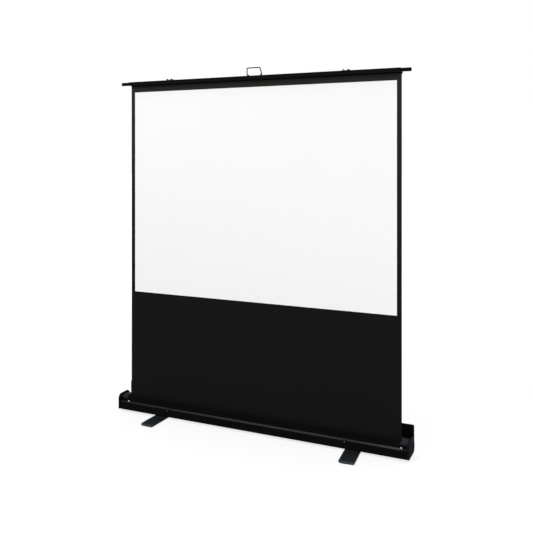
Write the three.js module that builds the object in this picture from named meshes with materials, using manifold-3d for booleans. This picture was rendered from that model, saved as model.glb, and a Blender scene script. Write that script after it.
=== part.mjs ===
// Portable floor projector screen, pulled up out of its case.
// Millimetres, +Z up. X runs along the case and -Y is the viewing side.
// The origin is on the floor, under the middle of the case.
import * as THREE from 'three';
import { mergeVertices } from 'three/addons/utils/BufferGeometryUtils.js';
import Module from 'manifold-3d';

const wasm = await Module();
wasm.setup();

// Driving dimensions of the picture and its cloth
const whiteWidth = 1707;
const whiteHeight = 1280;
const whiteBottomHeight = 760;
const sideBorder = 27;
const barAboveWhite = 64.5;
const fabricThickness = 0.6;
const fabricY = -2;

// Driving dimensions of the feet
const padHeight = 3;
const padRadius = 14;
const footThickness = 8;
const footBossHeight = 2;
const footLength = 450;
const footWidth = 90;
const footRoundCorner = 25;
const footTightCorner = 9;
const footBevel = 2;
const footPlaceShare = 0.658;
const leftFootTurn = THREE.MathUtils.degToRad(-1.8);
const rightFootTurn = THREE.MathUtils.degToRad(4.8);

// Driving dimensions of the case
const clothEndRoom = 54.5;
const caseDepth = 136;
const channelWall = 2.5;
const rimRise = 51;
const rimSetback = 13;
const rimRadius = 5;
const ledgeDepth = 7;
const hoodRise = 85;
const hoodSetback = 28;
const backWallRise = 72;
const rearPanelRise = 143;
const rearPanelCornerRadius = 8;
const rearPanelThickness = 2.3;
const flangeThickness = 10;
const flangeRise = 92.5;
const flangeCornerRadius = 28;
const flangeBackSlope = 40;
const flangeBackRadius = 6;
const heelRadius = 22;

// Driving dimensions of the roller and what carries it
const tubeRadius = 19;
const tubeWall = 1.5;
const rollThickness = 1.7;
const rollerRise = 37;
const axleRadius = 6;
const blockFrontY = -40;
const blockBackY = 24;
const blockRise = 83;
const blockFrontRadius = 24;
const blockBackRadius = 10;
const blockLength = 40;

// Driving dimensions of the top bar
const barWall = 2.5;
const barFrontY = -35;
const barSkirt = 24;
const barWebDrop = 28;
const stubRadius = 9;
const stubWall = 1.5;
const knobRadius = 10.5;
const knobLength = 24;
const clampThickness = 4;
const clampHeight = 16;

// Driving dimensions of the folding lift
const openAngle = THREE.MathUtils.degToRad(60);
const armWidth = 20;
const armThickness = 8;
const armGap = 2;
const armFrontY = 26;
const foldGap = 2.2;
const railEndRoom = 13.6;
const pinRadius = 4;
const pinHeadRadius = 6;
const pinHeadThickness = 2.4;
const wheelRadius = 9;
const wheelWidth = 8;
const railWall = 1.5;
const railDepth = 15;
const railEndSpare = 14;

// Driving dimensions of the latches and the handle
const latchPlaceShare = 0.614;
const latchWireRadius = 1.5;
const latchHalfWidth = 19;
const latchReach = 4.6;
const latchRise = 3;
const latchHeight = 45;
const handleWireRadius = 3;
const handleHalfWidth = 49;
const handleTopHalfWidth = 41.5;
const handleLength = 44.5;
const handleLean = THREE.MathUtils.degToRad(20);
const handlePivotRise = 5.2;
const handleY = -6;

// Clearances, the overrun of cuts and the fineness of round shapes
const seatGap = 0.3;
const runGap = 0.3;
const overrun = 5;
const roundSides = 32;
const pinSides = 16;
const arcSteps = 6;

// Places that follow from the driving dimensions
const caseBottom = padHeight + footThickness + footBossHeight;
const caseFrontY = -caseDepth / 2;
const channelBackY = caseDepth / 2 - rearPanelThickness - seatGap;
const channelInnerBackY = channelBackY - channelWall;
const floorTop = caseBottom + channelWall;
const fabricHalfWidth = whiteWidth / 2 + sideBorder;
const caseLength = 2 * (fabricHalfWidth + clothEndRoom);
const channelHalfLength = caseLength / 2 - flangeThickness - seatGap;
const footPivotX = footPlaceShare * caseLength / 2;
const latchX = latchPlaceShare * caseLength / 2;
const rollRadius = tubeRadius + seatGap + rollThickness;
const rollerY = fabricY - fabricThickness / 2 - seatGap - rollRadius;
const rollerZ = caseBottom + rollerRise;
const blockOuterX = channelHalfLength;
const blockInnerX = blockOuterX - blockLength;
const barTop = whiteBottomHeight + whiteHeight + barAboveWhite;
const stubY = barFrontY + barWall + seatGap + stubRadius;
const stubDrop = barWall + seatGap + stubRadius;
const foldedBarTop = caseBottom + flangeRise + seatGap + knobRadius + stubDrop;
const railHalf = wheelRadius + runGap + railWall;
const topPivotDrop = barWall + seatGap + railHalf;
const foldedPitch = armWidth + foldGap;
const basePivotZ = foldedBarTop - topPivotDrop - 2 * foldedPitch;
const topPivotZ = barTop - topPivotDrop;
const armReach = (topPivotZ - basePivotZ) / (2 * Math.sin(openAngle));
const openSpan = armReach * Math.cos(openAngle);
const openRise = armReach * Math.sin(openAngle);
const foldedAngle = Math.asin(foldedPitch / armReach);
const foldedSpan = armReach * Math.cos(foldedAngle);
const railEndX = blockInnerX - seatGap - railEndRoom;
const basePivotX = railEndX - seatGap - wheelRadius - foldedSpan;
const armBackY = armFrontY + 2 * armThickness + armGap;
const railBackY = channelInnerBackY - seatGap;
const railFrontY = railBackY - railDepth;
const panelLean = Math.atan2(rimSetback, rimRise);

// Finishes
const finishes = {
  caseBlack: { color: 0x17181a, roughness: 0.42, metalness: 0.5 },
  barBlack: { color: 0x1f211f, roughness: 0.45, metalness: 0.5 },
  footBlack: { color: 0x22262b, roughness: 0.4, metalness: 0.4 },
  plastic: { color: 0x2a2c2f, roughness: 0.5, metalness: 0 },
  rubber: { color: 0x111111, roughness: 0.9, metalness: 0 },
  steel: { color: 0xb4b7ba, roughness: 0.35, metalness: 1 },
  aluminium: { color: 0x9aa0a6, roughness: 0.4, metalness: 0.9 },
  nylon: { color: 0xd8d8d2, roughness: 0.6, metalness: 0 },
  fabric: { color: 0xf2f2f0, roughness: 0.9, metalness: 0 },
};

const screen = new THREE.Group();

function place(name, geometry, finish, parent = screen) {
  const mesh = new THREE.Mesh(geometry, new THREE.MeshStandardMaterial(finishes[finish]));
  mesh.name = name;
  parent.add(mesh);
  return mesh;
}

// Joins and cuts
function toSolid(geometry) {
  const bare = geometry.clone();
  bare.deleteAttribute('normal');
  bare.deleteAttribute('uv');
  const merged = mergeVertices(bare);
  return new wasm.Manifold(new wasm.Mesh({
    numProp: 3,
    vertProperties: merged.attributes.position.array,
    triVerts: merged.index.array,
  }));
}

function toGeometry(solid) {
  const { vertProperties, triVerts } = solid.getMesh();
  const geometry = new THREE.BufferGeometry();
  geometry.setAttribute('position', new THREE.BufferAttribute(vertProperties, 3));
  geometry.setIndex(new THREE.BufferAttribute(triVerts, 1));
  geometry.computeVertexNormals();
  return geometry;
}

function joined(...geometries) {
  return toGeometry(geometries.map(toSolid).reduce((whole, next) => whole.add(next)));
}

function cut(geometry, ...cutters) {
  return toGeometry(cutters.map(toSolid).reduce((left, next) => left.subtract(next), toSolid(geometry)));
}

// Outlines: each corner is [across, up, radius], rounded where the radius isn't zero
function roundedOutline(corners) {
  const outline = [];
  corners.forEach(([across, up, radius], index) => {
    const corner = new THREE.Vector2(across, up);
    if (!radius) {
      outline.push(corner);
      return;
    }
    const before = corners[(index + corners.length - 1) % corners.length];
    const after = corners[(index + 1) % corners.length];
    const toBefore = new THREE.Vector2(before[0], before[1]).sub(corner).normalize();
    const toAfter = new THREE.Vector2(after[0], after[1]).sub(corner).normalize();
    const halfAngle = Math.acos(toBefore.dot(toAfter)) / 2;
    const inset = radius / Math.tan(halfAngle);
    const middle = toBefore.clone().add(toAfter).normalize();
    const centre = corner.clone().addScaledVector(middle, radius / Math.sin(halfAngle));
    const start = corner.clone().addScaledVector(toBefore, inset).sub(centre);
    const end = corner.clone().addScaledVector(toAfter, inset).sub(centre);
    const turn = Math.atan2(start.cross(end), start.dot(end));
    for (let step = 0; step <= arcSteps; step += 1) {
      outline.push(start.clone().rotateAround(new THREE.Vector2(), turn * step / arcSteps).add(centre));
    }
  });
  return new THREE.Shape(outline);
}

function circleHole(across, up, radius, sides = pinSides) {
  const points = [];
  for (let side = 0; side < sides; side += 1) {
    const angle = 2 * Math.PI * side / sides;
    points.push(new THREE.Vector2(across + radius * Math.cos(angle), up + radius * Math.sin(angle)));
  }
  return new THREE.Path(points);
}

// Extrusions: an outline drawn in Y and Z runs along X, one drawn in X and Z runs along Y
const axisX = new THREE.Vector3(1, 0, 0);
const axisY = new THREE.Vector3(0, 1, 0);
const axisZ = new THREE.Vector3(0, 0, 1);

function extrude(shape, depth) {
  return new THREE.ExtrudeGeometry(shape, { depth, bevelEnabled: false, curveSegments: pinSides });
}

function alongX(shape, fromX, toX) {
  const geometry = extrude(shape, toX - fromX);
  geometry.translate(0, 0, fromX);
  return geometry.applyMatrix4(new THREE.Matrix4().makeBasis(axisY, axisZ, axisX));
}

function alongY(shape, fromY, toY) {
  const geometry = extrude(shape, toY - fromY);
  geometry.translate(0, 0, -toY);
  return geometry.applyMatrix4(new THREE.Matrix4().makeBasis(axisX, axisZ, axisY.clone().negate()));
}

function box(fromX, toX, fromY, toY, fromZ, toZ) {
  const geometry = new THREE.BoxGeometry(toX - fromX, toY - fromY, toZ - fromZ);
  return geometry.translate((fromX + toX) / 2, (fromY + toY) / 2, (fromZ + toZ) / 2);
}

// Turned pieces: profile points are [radius, distance along the axis]
function turned(profile, sides = roundSides) {
  return new THREE.LatheGeometry(profile.map(([radius, along]) => new THREE.Vector2(radius, along)), sides);
}

function turnedX(profile, y, z, sides) {
  return turned(profile, sides).rotateZ(-Math.PI / 2).translate(0, y, z);
}

function turnedZ(profile, x, y, sides) {
  return turned(profile, sides).rotateX(Math.PI / 2).translate(x, y, 0);
}

function rod(radius, from, to) {
  return [[0, from], [radius, from], [radius, to], [0, to]];
}

function sleeve(inner, outer, from, to) {
  return [[inner, from], [outer, from], [outer, to], [inner, to], [inner, from]];
}

// Bent wire: straight runs joined by round bends, swept as one tube
function bentWire(points, radius, bend, sides, stepLength) {
  const path = new THREE.CurvePath();
  let start = points[0];
  for (let index = 1; index < points.length - 1; index += 1) {
    const corner = points[index];
    const before = corner.clone().add(start.clone().sub(corner).setLength(bend));
    const after = corner.clone().add(points[index + 1].clone().sub(corner).setLength(bend));
    path.add(new THREE.LineCurve3(start, before));
    path.add(new THREE.QuadraticBezierCurve3(before, corner, after));
    start = after;
  }
  path.add(new THREE.LineCurve3(start, points[points.length - 1]));
  const section = new THREE.Shape(circleHole(0, 0, radius, sides).getPoints());
  const steps = Math.round(path.getLength() / stepLength);
  return new THREE.ExtrudeGeometry(section, { steps, extrudePath: path });
}

// Case

// A place on the leaning front panel: out from its face, up along it from the case's bottom edge
function onPanel(out, up) {
  const y = caseFrontY + up * Math.sin(panelLean) - out * Math.cos(panelLean);
  const z = caseBottom + up * Math.cos(panelLean) + out * Math.sin(panelLean);
  return [y, z];
}

const latchPinY = barFrontY - latchReach;
const catchPlateThickness = 1.5;
const catchPlateWidth = 22;
const catchPlateBottom = 31;
const catchPlateTop = 55;
const catchNoseReach = 6;
const catchNoseHeight = 4;
const rivetUp = 38;
const rivetRadius = 2;
const rivetHeadRadius = 4;
const rivetHeadThickness = 1.8;
const latchRest = onPanel(seatGap + catchPlateThickness + seatGap + latchWireRadius, latchHeight);

function channelSection() {
  const rimY = caseFrontY + rimSetback;
  const rimZ = caseBottom + rimRise;
  const ledgeY = rimY + ledgeDepth;
  const hoodY = caseFrontY + hoodSetback;
  const hoodZ = caseBottom + hoodRise;
  const backZ = caseBottom + backWallRise;
  return roundedOutline([
    [caseFrontY, caseBottom, channelWall],
    [channelBackY, caseBottom, 0],
    [channelBackY, backZ, 0],
    [channelInnerBackY, backZ, 0],
    [channelInnerBackY, floorTop, 0],
    [caseFrontY + channelWall, floorTop, 0],
    [rimY + channelWall, rimZ - channelWall, 0],
    [ledgeY + channelWall, rimZ - channelWall, 0],
    [hoodY + channelWall, hoodZ, 0],
    [hoodY, hoodZ, 0],
    [ledgeY, rimZ, 0],
    [rimY, rimZ, rimRadius],
  ]);
}

function rivetCutter(side) {
  const [y, z] = onPanel(0, rivetUp);
  return turned(rod(rivetRadius + runGap, -overrun, overrun), pinSides)
    .rotateX(-panelLean)
    .translate(side * latchX, y, z);
}

function baseChannel() {
  const hoodEnd = blockInnerX - seatGap;
  const hoodBase = caseBottom + rimRise;
  const cutters = [-1, 1].flatMap((side) => {
    const inner = side * hoodEnd;
    const outer = side * (channelHalfLength + overrun);
    return [
      box(Math.min(inner, outer), Math.max(inner, outer), caseFrontY - overrun, blockBackY,
        hoodBase, caseBottom + hoodRise + overrun),
      rivetCutter(side),
      turnedZ(rod(boltRadius + runGap, caseBottom - overrun, floorTop + overrun), side * footPivotX, 0, pinSides),
    ];
  });
  return cut(alongX(channelSection(), -channelHalfLength, channelHalfLength), ...cutters);
}

function flangeSection() {
  const top = caseBottom + flangeRise;
  return roundedOutline([
    [caseFrontY, caseBottom, channelWall],
    [channelBackY, caseBottom, heelRadius],
    [channelBackY, top - flangeBackSlope, flangeBackRadius],
    [channelBackY - flangeBackSlope, top, flangeBackRadius],
    [caseFrontY, top, flangeCornerRadius],
  ]);
}

function blockSection() {
  const top = caseBottom + blockRise;
  return roundedOutline([
    [blockFrontY, floorTop + seatGap, 0],
    [blockBackY, floorTop + seatGap, 0],
    [blockBackY, top, blockBackRadius],
    [blockFrontY, top, blockFrontRadius],
  ]);
}

// Cap screws hold each end flange to its bearing block, front above and back below
const screwRadius = 2.5;
const screwHeadRadius = 5;
const screwHeadThickness = 2.2;
const screwLength = 28;
const screwInsetY = 12;
const screwInsetZ = 22;
const screwPlaces = {
  front: [blockFrontY + screwInsetY, floorTop + screwInsetZ],
  back: [blockBackY - screwInsetY, caseBottom + blockRise - screwInsetZ],
};

function screwProfile() {
  const face = caseLength / 2 + seatGap;
  return [
    [0, face - screwLength],
    [screwRadius, face - screwLength],
    [screwRadius, face],
    [screwHeadRadius, face],
    [screwHeadRadius, face + screwHeadThickness / 2],
    [screwHeadRadius - screwHeadThickness / 2, face + screwHeadThickness],
    [0, face + screwHeadThickness],
  ];
}

function screwHoles() {
  const face = caseLength / 2;
  const hole = rod(screwRadius + runGap, face - screwLength - seatGap, face + overrun);
  return Object.values(screwPlaces).map(([y, z]) => turnedX(hole, y, z, pinSides));
}

function endFlange() {
  const inner = caseLength / 2 - flangeThickness;
  return cut(alongX(flangeSection(), inner, caseLength / 2), ...screwHoles());
}

function bearingBlock(boreRadius) {
  const bore = turnedX(rod(boreRadius, blockInnerX - overrun, blockOuterX - channelWall), rollerY, rollerZ, roundSides);
  return cut(alongX(blockSection(), blockInnerX, blockOuterX), bore, ...screwHoles());
}

// Turns a piece of the right end half round into the same piece of the left end
function mirroredX(geometry) {
  const flipped = geometry.clone().scale(-1, 1, 1);
  const indexed = flipped.index ? flipped : mergeVertices(flipped);
  const order = indexed.index.array;
  for (let first = 0; first < order.length; first += 3) {
    [order[first], order[first + 1]] = [order[first + 1], order[first]];
  }
  indexed.computeVertexNormals();
  return indexed;
}

function rearPanel() {
  const panelInset = 2;
  const panelHalfLength = caseLength / 2 - panelInset;
  const panelTop = caseBottom + rearPanelRise;
  const outline = roundedOutline([
    [-panelHalfLength, caseBottom, heelRadius],
    [panelHalfLength, caseBottom, heelRadius],
    [panelHalfLength, panelTop, rearPanelCornerRadius],
    [-panelHalfLength, panelTop, rearPanelCornerRadius],
  ]);
  return alongY(outline, caseDepth / 2 - rearPanelThickness, caseDepth / 2);
}

function addCase() {
  place('base_channel', baseChannel(), 'caseBlack');
  place('rear_panel', rearPanel(), 'caseBlack');
  place('end_flange_right', endFlange(), 'plastic');
  place('end_flange_left', mirroredX(endFlange()), 'plastic');
  place('bearing_block_right', bearingBlock(axleRadius + runGap), 'plastic');
  place('bearing_block_left', mirroredX(bearingBlock(axleRadius + runGap)), 'plastic');
  Object.entries(screwPlaces).forEach(([level, [y, z]]) => {
    const screw = turnedX(screwProfile(), y, z, pinSides);
    place(`cap_screw_${level}_right`, screw, 'barBlack');
    place(`cap_screw_${level}_left`, mirroredX(screw), 'barBlack');
  });
}

// Feet

const boltRadius = 6;
const boltHeadRadius = 11;
const boltHeadThickness = 3.7;
const nutRadius = 10;
const nutHeight = 6;
const footBossRadius = 30;
const padInset = 28;

function footPlate() {
  const halfLength = footLength / 2 - footBevel;
  const halfWidth = footWidth / 2 - footBevel;
  const round = footRoundCorner - footBevel;
  const tight = footTightCorner - footBevel;
  const outline = roundedOutline([
    [-halfWidth, -halfLength, round],
    [halfWidth, -halfLength, tight],
    [halfWidth, halfLength, round],
    [-halfWidth, halfLength, tight],
  ]);
  const plate = new THREE.ExtrudeGeometry(outline, {
    depth: footThickness - 2 * footBevel,
    bevelThickness: footBevel,
    bevelSize: footBevel,
    bevelSegments: 1,
  });
  plate.translate(0, 0, padHeight + footBevel);
  const bossTop = caseBottom - seatGap;
  const boss = turnedZ(rod(footBossRadius, padHeight + footBevel, bossTop), 0, 0);
  const bore = turnedZ(rod(boltRadius + runGap, -overrun, bossTop + overrun), 0, 0, roundSides);
  const headSeat = padHeight + boltHeadThickness + 2 * seatGap;
  const headRoom = turnedZ(rod(boltHeadRadius + runGap, -overrun, headSeat), 0, 0, roundSides);
  return cut(joined(plate, boss), bore, headRoom);
}

function footBolt() {
  const headTop = padHeight + seatGap + boltHeadThickness;
  const nutBottom = floorTop + seatGap;
  return turnedZ([
    [0, padHeight + seatGap],
    [boltHeadRadius, padHeight + seatGap],
    [boltHeadRadius, headTop],
    [boltRadius, headTop],
    [boltRadius, nutBottom],
    [nutRadius, nutBottom],
    [nutRadius, nutBottom + nutHeight],
    [0, nutBottom + nutHeight],
  ], 0, 0, roundSides);
}

function addFeet() {
  [['left', -1, leftFootTurn], ['right', 1, rightFootTurn]].forEach(([name, side, turn]) => {
    const foot = new THREE.Group();
    foot.position.x = side * footPivotX;
    foot.rotation.z = turn;
    screen.add(foot);
    place(`foot_${name}`, footPlate(), 'footBlack', foot);
    place(`foot_bolt_${name}`, footBolt(), 'steel', foot);
    const padY = footLength / 2 - padInset;
    const pad = rod(padRadius, 0, padHeight - seatGap);
    place(`foot_pad_${name}_front`, turnedZ(pad, 0, -padY), 'rubber', foot);
    place(`foot_pad_${name}_back`, turnedZ(pad, 0, padY), 'rubber', foot);
  });
}

// Roller with the cloth's last wraps and its spring

const plugDepth = 20;
const plugLip = 1.5;
const springInner = 8;
const springOuter = 13;
const springLength = 420;
const collarRadius = 14;
const collarLength = 8;

function addRoller() {
  const tubeEnd = blockInnerX - seatGap - plugLip - seatGap;
  const tubeInner = tubeRadius - tubeWall;
  place('roller_tube', turnedX(sleeve(tubeInner, tubeRadius, -tubeEnd, tubeEnd), rollerY, rollerZ), 'aluminium');
  const roll = sleeve(tubeRadius + seatGap, rollRadius, -fabricHalfWidth, fabricHalfWidth);
  place('fabric_roll', turnedX(roll, rollerY, rollerZ), 'fabric');
  const lipInner = tubeEnd + seatGap;
  const lipOuter = blockInnerX - seatGap;
  const plugInner = tubeEnd - plugDepth;
  const plugRadius = tubeInner - seatGap;
  const axleEnd = blockOuterX - channelWall - seatGap;
  place('roller_plug_right', turnedX([
    [0, plugInner],
    [plugRadius, plugInner],
    [plugRadius, lipInner],
    [tubeRadius, lipInner],
    [tubeRadius, lipOuter],
    [axleRadius, lipOuter],
    [axleRadius, axleEnd],
    [0, axleEnd],
  ], rollerY, rollerZ), 'plastic');
  place('roller_plug_left', turnedX([
    [axleRadius + runGap, -lipOuter],
    [tubeRadius, -lipOuter],
    [tubeRadius, -lipInner],
    [plugRadius, -lipInner],
    [plugRadius, -plugInner],
    [axleRadius + runGap, -plugInner],
    [axleRadius + runGap, -lipOuter],
  ], rollerY, rollerZ), 'plastic');
  const springStart = -plugInner + seatGap;
  const springEnd = springStart + springLength;
  place('roller_spring', turnedX(sleeve(springInner, springOuter, springStart, springEnd), rollerY, rollerZ), 'steel');
  place('spring_arbor', turnedX([
    [0, -axleEnd],
    [axleRadius, -axleEnd],
    [axleRadius, springEnd + seatGap],
    [collarRadius, springEnd + seatGap],
    [collarRadius, springEnd + seatGap + collarLength],
    [0, springEnd + seatGap + collarLength],
  ], rollerY, rollerZ), 'steel');
}

// Screen cloth, one sheet from the roller to the top bar

function addFabric() {
  const top = barTop - barWebDrop + clampHeight;
  place('screen_fabric', box(-fabricHalfWidth, fabricHalfWidth, fabricY - fabricThickness / 2,
    fabricY + fabricThickness / 2, rollerZ, top), 'fabric');
}

// Top bar

function addTopBar() {
  const webFrontY = fabricY + fabricThickness / 2 + seatGap;
  const webBackY = webFrontY + barWall;
  const under = barTop - barWall;
  const section = roundedOutline([
    [barFrontY, barTop - barSkirt, 0],
    [barFrontY + barWall, barTop - barSkirt, 0],
    [barFrontY + barWall, under, 0],
    [webFrontY, under, 0],
    [webFrontY, barTop - barWebDrop, 0],
    [webBackY, barTop - barWebDrop, 0],
    [webBackY, under, 0],
    [railBackY, under, 0],
    [railBackY, barTop, 0],
    [barFrontY, barTop, barWall],
  ]);
  place('top_bar_profile', alongX(section, -fabricHalfWidth, fabricHalfWidth), 'barBlack');
  const clampBackY = fabricY - fabricThickness / 2 - seatGap;
  const clampBottom = barTop - barWebDrop;
  place('fabric_clamp_strip', box(-fabricHalfWidth, fabricHalfWidth, clampBackY - clampThickness, clampBackY,
    clampBottom, clampBottom + clampHeight), 'barBlack');
  const stubZ = barTop - stubDrop;
  const knobOuter = caseLength / 2 + seatGap + screwHeadThickness;
  const stubEnd = knobOuter - knobLength - seatGap;
  const stubInner = stubRadius - stubWall;
  place('top_bar_tube', turnedX(sleeve(stubInner, stubRadius, -stubEnd, stubEnd), stubY, stubZ), 'barBlack');
  const plugRadius = stubInner - seatGap;
  const knob = turnedX([
    [0, stubEnd - knobLength],
    [plugRadius, stubEnd - knobLength],
    [plugRadius, stubEnd + seatGap],
    [knobRadius, stubEnd + seatGap],
    [knobRadius, knobOuter - stubWall],
    [knobRadius - stubWall, knobOuter],
    [0, knobOuter],
  ], stubY, stubZ);
  place('bar_knob_right', knob, 'plastic');
  place('bar_knob_left', mirroredX(knob), 'plastic');
}

// Folding lift: two crossed pairs of arms, one above the other

const armBores = [0, 1 / 2, 1];

function liftArm() {
  const radius = armWidth / 2;
  const outline = new THREE.Shape();
  outline.moveTo(0, -radius);
  outline.lineTo(armReach, -radius);
  outline.absarc(armReach, 0, radius, -Math.PI / 2, Math.PI / 2);
  outline.lineTo(0, radius);
  outline.absarc(0, 0, radius, Math.PI / 2, 3 * Math.PI / 2);
  outline.holes = armBores.map((share) => circleHole(share * armReach, 0, pinRadius + runGap));
  return alongY(outline, 0, armThickness);
}

// A rivet-like pin along Y with a head on each end
function headedPin(fromY, toY, headThickness = pinHeadThickness) {
  return turned([
    [0, fromY - headThickness],
    [pinHeadRadius, fromY - headThickness],
    [pinHeadRadius, fromY],
    [pinRadius, fromY],
    [pinRadius, toY],
    [pinHeadRadius, toY],
    [pinHeadRadius, toY + headThickness],
    [0, toY + headThickness],
  ], pinSides);
}

function placeAt(name, geometry, finish, x, z) {
  place(name, geometry, finish).position.set(x, 0, z);
}

function addArms() {
  const frontY = armFrontY;
  const backY = armFrontY + armThickness + armGap;
  const farX = basePivotX + openSpan;
  const middleZ = basePivotZ + openRise;
  const arms = [
    ['lift_arm_lower_front', basePivotX, frontY, basePivotZ, openAngle],
    ['lift_arm_lower_back', farX, backY, basePivotZ, Math.PI - openAngle],
    ['lift_arm_upper_back', farX, backY, middleZ, Math.PI - openAngle],
    ['lift_arm_upper_front', basePivotX, frontY, middleZ, openAngle],
  ];
  arms.forEach(([name, x, y, z, angle]) => {
    const arm = place(name, liftArm(), 'aluminium');
    arm.position.set(x, y, z);
    arm.rotation.y = -angle;
  });
}

function addLiftPins() {
  const middleX = basePivotX + openSpan / 2;
  const farX = basePivotX + openSpan;
  const throughPin = headedPin(armFrontY - seatGap, armBackY + seatGap);
  placeAt('cross_pin_lower', throughPin, 'steel', middleX, basePivotZ + openRise / 2);
  placeAt('cross_pin_upper', throughPin, 'steel', middleX, basePivotZ + 3 * openRise / 2);
  placeAt('elbow_pin_right', throughPin, 'steel', farX, basePivotZ + openRise);
  placeAt('elbow_pin_left', throughPin, 'steel', basePivotX, basePivotZ + openRise);
}

// The wheels run in the rails: one on the lower back arm, one on the upper front arm
function addWheels() {
  const farX = basePivotX + openSpan;
  const wheelY = railBackY - railDepth / 2;
  const wheelFrom = wheelY - wheelWidth / 2;
  const wheelTo = wheelY + wheelWidth / 2;
  const wheel = turned(sleeve(pinRadius + runGap, wheelRadius, wheelFrom, wheelTo));
  const tailThickness = pinHeadThickness / 2;
  const axle = (fromY) => turned([
    [0, fromY - pinHeadThickness],
    [pinHeadRadius, fromY - pinHeadThickness],
    [pinHeadRadius, fromY],
    [pinRadius, fromY],
    [pinRadius, wheelTo + seatGap],
    [pinHeadRadius, wheelTo + seatGap],
    [pinHeadRadius, wheelTo + seatGap + tailThickness],
    [0, wheelTo + seatGap + tailThickness],
  ], pinSides);
  placeAt('wheel_lower', wheel, 'nylon', farX, basePivotZ);
  placeAt('wheel_axle_lower', axle(armBackY - armThickness - seatGap), 'steel', farX, basePivotZ);
  placeAt('wheel_upper', wheel, 'nylon', farX, topPivotZ);
  placeAt('wheel_axle_upper', axle(armFrontY - seatGap), 'steel', farX, topPivotZ);
}

function railSection(centreZ) {
  const slotHalf = pinRadius + railWall;
  const inner = railHalf - railWall;
  return roundedOutline([
    [railBackY, centreZ - railHalf, 0],
    [railBackY, centreZ + railHalf, 0],
    [railFrontY, centreZ + railHalf, 0],
    [railFrontY, centreZ + slotHalf, 0],
    [railFrontY + railWall, centreZ + slotHalf, 0],
    [railFrontY + railWall, centreZ + inner, 0],
    [railBackY - railWall, centreZ + inner, 0],
    [railBackY - railWall, centreZ - inner, 0],
    [railFrontY + railWall, centreZ - inner, 0],
    [railFrontY + railWall, centreZ - slotHalf, 0],
    [railFrontY, centreZ - slotHalf, 0],
    [railFrontY, centreZ - railHalf, 0],
  ]);
}

function addRails() {
  const fromX = basePivotX + openSpan - wheelRadius - railEndSpare;
  place('base_rail', alongX(railSection(basePivotZ), fromX, railEndX), 'aluminium');
  place('top_rail', alongX(railSection(topPivotZ), fromX, railEndX), 'aluminium');
}

// Angle brackets carry the lift's two fixed pivots
const bracketWall = 3;
const bracketWidth = 40;
const bracketFlange = 15;

function addBrackets() {
  const fromX = basePivotX - bracketWidth / 2;
  const toX = basePivotX + bracketWidth / 2;
  const pinHole = (centreZ) => turned(rod(pinRadius + runGap, 0, caseDepth), pinSides).translate(basePivotX, 0, centreZ);
  const baseCheekY = armFrontY - seatGap - bracketWall;
  const baseBottom = floorTop + seatGap;
  const baseSection = roundedOutline([
    [baseCheekY - bracketFlange, baseBottom, 0],
    [baseCheekY + bracketWall, baseBottom, 0],
    [baseCheekY + bracketWall, basePivotZ + armWidth / 2, 0],
    [baseCheekY, basePivotZ + armWidth / 2, 0],
    [baseCheekY, baseBottom + bracketWall, 0],
    [baseCheekY - bracketFlange, baseBottom + bracketWall, 0],
  ]);
  place('base_pivot_bracket', cut(alongX(baseSection, fromX, toX), pinHole(basePivotZ)), 'steel');
  placeAt('base_pivot_pin', headedPin(baseCheekY - seatGap, armFrontY + armThickness + seatGap, armGap - 2 * seatGap),
    'steel', basePivotX, basePivotZ);
  const topCheekY = armBackY + seatGap;
  const topUnder = barTop - barWall - seatGap;
  const topSection = roundedOutline([
    [topCheekY, topPivotZ - armWidth / 2, 0],
    [topCheekY + bracketWall, topPivotZ - armWidth / 2, 0],
    [topCheekY + bracketWall, topUnder - bracketWall, 0],
    [topCheekY + bracketFlange, topUnder - bracketWall, 0],
    [topCheekY + bracketFlange, topUnder, 0],
    [topCheekY, topUnder, 0],
  ]);
  place('top_pivot_bracket', cut(alongX(topSection, fromX, toX), pinHole(topPivotZ)), 'steel');
  placeAt('top_pivot_pin', headedPin(armBackY - armThickness - seatGap, topCheekY + bracketWall + seatGap,
    armGap - 2 * seatGap), 'steel', basePivotX, topPivotZ);
}

// Latches: a wire loop on the bar drops over a catch on the case's front

const earThickness = 2.5;
const earRadius = 4;
const earPlateDepth = 15;
const earPlateThickness = 1.2;
const earWireEnd = 3;
const latchBend = 2 * latchWireRadius;

function latchBracket() {
  const earX = latchHalfWidth - latchBend - seatGap - earThickness;
  const plateFrontY = barFrontY + barWall;
  const plateBottom = barTop + seatGap;
  const ear = roundedOutline([
    [latchPinY - earRadius, barTop + latchRise - earRadius, earRadius * 0.9],
    [latchPinY + earRadius, barTop + latchRise - earRadius, 0],
    [latchPinY + earRadius, plateBottom, 0],
    [plateFrontY + earPlateDepth, plateBottom, 0],
    [plateFrontY + earPlateDepth, plateBottom + earPlateThickness, 0],
    [latchPinY + 2 * earRadius, barTop + latchRise + earRadius, 0],
    [latchPinY - earRadius, barTop + latchRise + earRadius, earRadius * 0.9],
  ]);
  const plate = box(-earX - earThickness, earX + earThickness, plateFrontY, plateFrontY + earPlateDepth,
    plateBottom, plateBottom + earPlateThickness);
  const bore = turnedX(rod(latchWireRadius + runGap, -latchHalfWidth, latchHalfWidth),
    latchPinY, barTop + latchRise, pinSides);
  return cut(joined(plate, alongX(ear, earX, earX + earThickness), alongX(ear, -earX - earThickness, -earX)), bore);
}

function latchLoop() {
  const innerEnd = latchHalfWidth - latchBend - seatGap - earThickness - earWireEnd;
  const foldedPinZ = foldedBarTop + latchRise;
  const reach = Math.hypot(latchRest[0] - latchPinY, latchRest[1] - foldedPinZ);
  const point = (x, y) => new THREE.Vector3(x, latchPinY + y, barTop + latchRise);
  const wireSides = 8;
  const stepLength = 2 * latchWireRadius;
  return bentWire([
    point(-innerEnd, 0),
    point(-latchHalfWidth, 0),
    point(-latchHalfWidth, reach),
    point(latchHalfWidth, reach),
    point(latchHalfWidth, 0),
    point(innerEnd, 0),
  ], latchWireRadius, latchBend, wireSides, stepLength);
}

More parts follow.
